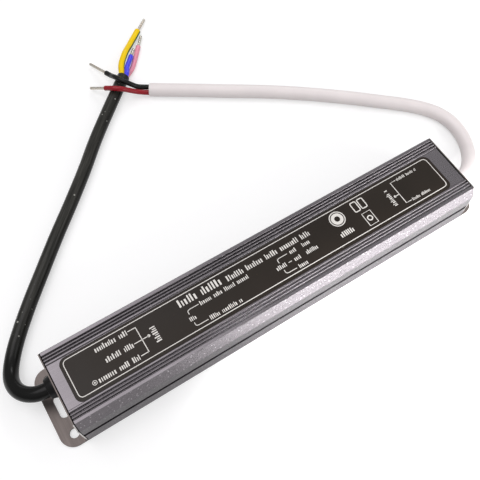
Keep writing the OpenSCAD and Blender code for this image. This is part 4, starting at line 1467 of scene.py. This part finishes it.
@dataclass
class EndFittings:
    """One end's bent bracket, its two screws and the rubber gland round the lead.

    The gland's sizes along X are measured from the plate's outer face.
    """

    end: End
    lead_diameter: float
    plate_face: float = 0.0825
    plate_back: float = 0.0821
    exit_y: float = 0.0045
    exit_z: float = 0.0100
    inner_flange: float = 0.0018
    outer_flange: float = 0.0010
    nose: float = 0.0030
    neck: float = 0.0035
    collar: float = 0.0041
    clearance: float = 0.0001
    gland_sides: int = 72
    gland_round: float = 0.00025
    round_steps: int = 4
    broken_plate: float = 0.00010
    broken_screw: float = 0.00006

    def gland(self) -> None:
        """Turns the gland's outline, its corners softened, round the lead's way out."""
        bore, sign = self.lead_diameter / 2 + self.clearance, float(self.end.value)
        inner, outer = -self.inner_flange, self.outer_flange
        outline = np.array([
            [inner, bore], [inner, self.collar], [-outer, self.collar], [-outer, self.neck],
            [0.0, self.neck], [0.0, self.collar], [outer, self.collar], [self.nose, self.neck],
            [self.nose, bore]])
        profile = softened(outline, self.gland_round, self.round_steps)
        centre = np.array([sign * self.plate_face, -sign * self.exit_y, self.exit_z])
        shape = lathe(profile, centre, np.array([sign, 0.0, 0.0]), self.gland_sides)
        add_piece(self.end.node("gland_ring"), shape, GLAND_RUBBER,
                  (self.end.node("gland"),))

    def bracket(self) -> None:
        """Makes the bracket. Its upright plate is thinner than the foot: the plate's back face is
        moved out, so the dark ring of painted shade shows between it and the tube."""
        piece = bevelled_copy(self.end.node("bracket"), SHEET_METAL,
                              self.broken_plate)
        points = np.empty(3 * len(piece.data.vertices))
        piece.data.vertices.foreach_get("co", points)
        along = points[0::3]
        points[0::3] = np.sign(along) * np.maximum(np.abs(along), self.plate_back)
        piece.data.vertices.foreach_set("co", points)

    def build(self) -> None:
        """Makes the bracket, the screws and the gland."""
        self.bracket()
        bevelled_copy(self.end.node("screws"), SCREW_METAL, self.broken_screw)
        self.gland()


# The label


@dataclass(frozen=True)
class Mark:
    """A printed mark. Places and sizes are in millimetres on the panel, X along it, Y across."""

    def shape(self, random: np.random.Generator, levels: Pair) -> Shape:
        """The mark between two heights. Each kind of mark gives its own."""
        raise NotImplementedError


@dataclass(frozen=True)
class Row(Mark):
    """A row of plain upright bars.

    It starts and stops along X, or along Y where it is upright. The level is its middle, across
    that. Bars and gaps have random widths, a wider gap comes after each few bars, and a share of
    the bars are of full height. The others are lower and stand on the same line. Widths and
    heights are shares of the full height.
    """

    start: float
    stop: float
    level: float
    tall: float
    upright: bool = False
    bar_widths: Pair = (0.15, 0.27)
    gap_widths: Pair = (0.15, 0.24)
    least_step: float = 0.2
    spare_bars: int = 4
    group_bars: tuple[int, int] = (5, 10)
    group_gap: float = 0.55
    full_share: float = 0.4
    low_height: float = 0.72

    def shape(self, random: np.random.Generator, levels: Pair) -> Shape:
        """The row's bars.

        Args:
            random: the label's random numbers.
            levels: the heights of the bars' two faces, in metres.

        Returns:
            The bars as flat blocks.
        """
        length, tall = abs(self.stop - self.start), self.tall
        count = int(length / (self.least_step * tall)) + self.spare_bars
        widths = random.uniform(*self.bar_widths, count) * tall
        gaps = random.uniform(*self.gap_widths, count) * tall
        groups = np.cumsum(random.integers(*self.group_bars, count))
        gaps[groups[groups < count]] += self.group_gap * tall
        left = np.concatenate([[0.0], np.cumsum(widths + gaps)[:-1]])
        kept = left + widths <= length
        left, widths = left[kept], widths[kept]
        full = random.random(len(left)) < self.full_share
        heights = np.where(full, 1.0, self.low_height) * tall
        along = self.start + left + widths / 2
        across = self.level + (heights - tall) / 2 * (-1.0 if self.upright else 1.0)
        middles = np.stack([across, along] if self.upright else [along, across], axis=1)
        halves = np.stack([widths, heights], axis=1) / 2
        angles = np.full(len(left), math.pi / 2 if self.upright else 0.0)
        return prisms(middles * MM, halves * MM, angles, *levels)


@dataclass(frozen=True)
class Rule(Mark):
    """A printed line through corners, which are rounded from a distance on, open or closed."""

    corners: tuple[Pair, ...]
    width: float = 0.3
    rounded: float = 0.0
    closed: bool = False
    steps: int = 6

    def shape(self, random: np.random.Generator, levels: Pair) -> Shape:
        """The line.

        Args:
            random: not used.
            levels: the heights of the line's two faces, in metres.

        Returns:
            The line as a flat band.
        """
        path = np.array(self.corners, float)
        if self.rounded:
            path = softened(path, self.rounded, self.steps, self.closed)
        return ribbon(path * MM, self.width * MM, *levels, closed=self.closed)


@dataclass(frozen=True)
class Dot(Mark):
    """A round dot, or a ring where it has an inner radius."""

    x: float
    y: float
    outer: float
    inner: float = 0.0

    def shape(self, random: np.random.Generator, levels: Pair) -> Shape:
        """The dot between two heights, in metres."""
        return disc((self.x * MM, self.y * MM), self.inner * MM, self.outer * MM, *levels)


# The printed marks, from the mains end to the output end

BORDER = (
    Rule(((-76.9, -6.92), (74.8, -6.92), (74.8, 7.0), (-76.9, 7.0)), 0.28, 1.8, closed=True),
)
INPUT_SIDE = (
    Row(-66.2, -54.6, 4.87, 1.9), Rule(((-54.2, 4.87), (-51.3, 4.87))),
    Row(-64.6, -54.6, 0.0, 1.9), Rule(((-54.2, 0.0), (-51.3, 0.0))),
    Row(-69.4, -54.6, -4.73, 1.9), Rule(((-54.2, -4.73), (-51.3, -4.73))),
    Dot(-70.8, -4.73, 0.83, 0.62), Dot(-70.8, -4.73, 0.3),
    Rule(((-51.3, -4.87), (-51.3, 5.02))), Rule(((-51.3, 0.0), (-48.8, 0.0))),
    Dot(-48.8, 0.0, 0.5), Row(-3.5, 2.6, -46.6, 1.9, upright=True),
)
MIDDLE = (
    Row(-35.2, -17.6, 4.5, 2.9), Row(-16.3, 18.5, 3.85, 2.1), Row(-28.7, -8.8, 0.97, 1.6),
    Row(-34.5, -32.0, -2.36, 1.5),
    Rule(((-29.2, 0.97), (-33.7, 0.97), (-33.7, -0.6)), 0.25, 1.2),
    Rule(((-33.7, -3.9), (-33.7, -5.4), (-29.1, -5.4)), 0.25, 1.2),
    Row(-28.3, -15.6, -5.3, 1.6), Row(0.57, 4.7, -2.2, 1.6),
    Rule(((5.5, -2.2), (6.9, -2.2)), 0.25),
    Rule(((6.9, 0.97), (2.6, 0.97), (2.6, -0.7)), 0.25, 1.2),
    Rule(((2.6, -3.7), (2.6, -5.4), (6.9, -5.4)), 0.25, 1.2),
    Row(8.0, 10.8, 0.97, 1.6), Row(8.0, 10.8, -2.2, 1.6), Row(13.4, 16.85, 0.97, 1.6),
    Row(13.1, 18.2, -2.2, 1.6), Row(7.9, 11.9, -5.3, 1.6),
)
RINGS_AND_SQUARES = (
    Dot(30.4, 3.0, 3.1, 2.72), Dot(30.4, 3.0, 2.35, 1.1), Row(27.6, 33.4, -3.25, 2.0),
    Rule(((37.9, 1.6), (40.2, 1.6), (40.2, 5.7), (37.9, 5.7)), 0.42, 0.6, closed=True),
    Rule(((41.0, 1.6), (43.3, 1.6), (43.3, 5.7), (41.0, 5.7)), 0.42, 0.6, closed=True),
    Rule(((39.2, -5.6), (42.9, -5.6), (42.9, -0.1), (39.2, -0.1)), 0.32, closed=True),
    Dot(41.05, -2.85, 1.15, 0.7),
)
OUTPUT_SIDE = (
    Dot(54.5, -0.56, 0.5), Rule(((54.5, -0.56), (56.5, -0.56))),
    Rule(((58.9, 5.0), (56.5, 5.0), (56.5, -4.87), (58.9, -4.87))),
    Row(59.4, 68.6, 5.0, 1.15), Row(59.4, 68.6, -4.87, 1.15),
    Row(-3.9, 3.5, 52.5, 1.7, upright=True),
)


@dataclass
class Label:
    """The dark label film in the panel, and the white print on it.

    The print is plain: a border, lines with dots, rings, squares and rows of upright bars. The
    film runs from start to stop along X and from near to far along Y. It is a little wider than
    the CAD's and lies slightly off the middle.
    """

    start_mm: float = -78.2
    stop_mm: float = 76.1
    near_mm: float = -8.35
    far_mm: float = 8.05
    corner_mm: float = 2.6
    corner_steps: int = 12
    surface_mm: float = 19.65
    thick_mm: float = 0.15
    sunk_mm: float = 0.01
    proud_mm: float = 0.02
    seed: int = 21
    marks: tuple[Mark, ...] = BORDER + INPUT_SIDE + MIDDLE + RINGS_AND_SQUARES + OUTPUT_SIDE

    def film(self) -> Shape:
        """The film with its round corners, as a flat section carried along X.

        The section's half width is the film's own less the corner's radius, plus the root of the
        radius squared less the square of what is left of the corner at that place.

        Returns:
            The film's surface.
        """
        corner, top = self.corner_mm, self.surface_mm
        turned = corner * (1 - np.cos(np.linspace(0.0, math.pi / 2, self.corner_steps + 1)))
        into = np.concatenate([[0.0], turned])
        width = ((self.far_mm - self.near_mm) / 2 - corner
                 + np.sqrt(corner**2 - (corner - into) ** 2))
        width[0] = 0.0
        x = np.concatenate([self.start_mm + into, (self.stop_mm - into)[::-1]])[:, None]
        sides = np.concatenate([width, width[::-1]])[:, None] * [-1.0, 1.0, 1.0, -1.0]
        y = (self.near_mm + self.far_mm) / 2 + sides
        z = np.broadcast_to([top, top, top - self.thick_mm, top - self.thick_mm], y.shape)
        points = np.stack([np.broadcast_to(x, y.shape), y, z], axis=2).reshape(-1, 3)
        return Shape(points * MM, grid_quads(len(x), 4))

    def build(self) -> None:
        """Makes the film and the print, each as one piece."""
        add_piece("label_sheet", self.film(), LABEL_FILM, ("label",), smooth=False)
        random = np.random.default_rng(self.seed)
        levels = ((self.surface_mm - self.sunk_mm) * MM, (self.surface_mm + self.proud_mm) * MM)
        printed = joined([mark.shape(random, levels) for mark in self.marks])
        add_piece("label_print", printed, LABEL_INK, smooth=False)


# The inside and the studio


@dataclass
class Inside:
    """The sealed parts in the housing, which keep their CAD shapes and get a finish each."""

    finishes: dict[str, Finish] = field(default_factory=lambda: dict(INSIDE_FINISHES))

    def build(self) -> None:
        """Dresses every inner node."""
        for node, finish in self.finishes.items():
            dress(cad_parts[node], finish)
            log.info("%s: %s", node, finish.name)


@dataclass
class Lamp:
    """A soft light that faces a point. Its strength is the share of full daylight that it gives
    there: pi squared times the distance squared, in watts, is the whole."""

    name: str
    place: Point
    target: Point
    size: float
    share: float
    colour: Colour = (1.0, 1.0, 1.0)
    spread: float = 180.0
    depth: float = 0.0

    def build(self) -> None:
        """Makes the light, with its -Z axis along the line to its target. Its side is square to
        a direction a little off straight up, so that a lamp straight above has one too. Only its
        light is seen."""
        data = bpy.data.lights.new(self.name, "AREA")
        data.shape, data.color = "RECTANGLE", self.colour
        data.size, data.size_y = self.size, self.depth or self.size
        data.spread = math.radians(self.spread)
        away = np.array(self.place) - np.array(self.target)
        data.energy = self.share * math.pi**2 * float(away @ away)
        back, almost_up = unit(away), np.array([0.0, 0.02, 1.0])
        side = unit(np.cross(almost_up, back))
        turn = np.stack([side, np.cross(back, side), back], axis=1)
        lamp = linked(self.name, data)
        lamp.matrix_world = Matrix.Translation(self.place) @ Matrix(turn.tolist()).to_4x4()
        lamp.visible_camera = False


@dataclass
class Studio:
    """A pale floor, a pale surround and soft lights."""

    floor_reach: float = 6.0
    floor_level: float = -0.00005
    floor_colour: Colour = (0.60, 0.60, 0.60)
    floor_glow: float = 0.50
    surround_top: Colour = (0.86, 0.86, 0.87)
    surround_rim: Colour = (0.34, 0.34, 0.34)
    surround_rise: float = 0.8
    surround_light: float = 0.71
    lamps: tuple[Lamp, ...] = (
        Lamp("above_mains_end", (-0.21, 0.20, 0.75), (-0.07, 0.0, 0.0), 0.54, 0.29,
             (1.0, 0.97, 1.0)),
        Lamp("floor_by_output_end", (0.084, -0.065, 0.10), (0.084, -0.065, 0.0), 0.20, 4.4,
             spread=54, depth=0.06),
        Lamp("near_output_end", (0.16, -0.25, 0.17), (0.06, 0.0, 0.01), 0.24, 0.34, depth=0.03),
        Lamp("past_output_end", (0.32, -0.05, 0.32), (0.0, 0.04, 0.0), 0.14, 0.04),
        Lamp("far_output_end", (0.50, 0.60, 0.60), (0.05, 0.05, 0.0), 0.25, 0.10),
    )

    @staticmethod
    def seen_share(nodes: Nodes) -> Socket:
        """Tells rays that see from rays that light.

        Args:
            nodes: the nodes of the floor or the world.

        Returns:
            One where a ray comes from the camera, a gloss or a clear part, and nothing elsewhere.
        """
        path = nodes.node("ShaderNodeLightPath").outputs
        total = path["Is Camera Ray"]
        for name in ("Is Glossy Ray", "Is Transmission Ray"):
            total = nodes.node("ShaderNodeMath", {0: total, 1: path[name]}, operation="ADD",
                               use_clamp=True).outputs[0]
        return total

    def floor(self) -> None:
        """Lays the floor, just under the feet. It glows a little where it is seen, so that it
        looks white and still takes the shadow."""
        reach, level = self.floor_reach, self.floor_level
        mesh = bpy.data.meshes.new("floor")
        mesh.from_pydata([(x * reach, y * reach, level)
                          for x, y in ((-1, -1), (1, -1), (1, 1), (-1, 1))], [], [(0, 1, 2, 3)])
        floor = linked("floor", mesh)
        graph = Graph("floor_paper")
        graph.set(Base_Color=self.floor_colour, Roughness=1.0, Specular_IOR_Level=0.0,
                  Emission_Color=(1.0, 1.0, 1.0),
                  Emission_Strength=graph.times(self.seen_share(graph), self.floor_glow))
        mesh.materials.append(graph.material)

    def world(self) -> None:
        """Surrounds the scene with a pale light, darker towards the horizon, and brighter where it
        is seen than where it lights."""
        world = bpy.data.worlds.new("surround")
        world.use_nodes = True
        nodes = Nodes(world.node_tree)
        height = nodes.parts(nodes.node("ShaderNodeTexCoord").outputs["Generated"])[2]
        background = nodes.tree.nodes["Background"].inputs
        nodes.put(background["Color"], nodes.tint(nodes.spread(height, 0.0, self.surround_rise),
                                                  self.surround_rim, self.surround_top))
        nodes.put(background["Strength"], nodes.spread(self.seen_share(nodes), 0.0, 1.0,
                                                       self.surround_light, 1.0))
        bpy.context.scene.world = world

    def build(self) -> None:
        """Sets up the floor, the surround and the lights."""
        self.floor()
        self.world()
        for lamp in self.lamps:
            lamp.build()


def main() -> None:
    """Builds the camera and the leads first, then the shell, the label, the inside and the
    studio."""
    logging.basicConfig(level=logging.INFO, format="%(message)s")
    bpy.context.scene.view_settings.view_transform = "Standard"
    ViewCamera().build()
    mains, output = mains_lead(), output_lead()
    mains.build()
    output.build()
    Housing().build()
    EndFittings(End.MAINS, mains.diameter).build()
    EndFittings(End.OUTPUT, output.diameter).build()
    Label().build()
    Inside().build()
    Studio().build()


if __name__ == "__main__":
    main()
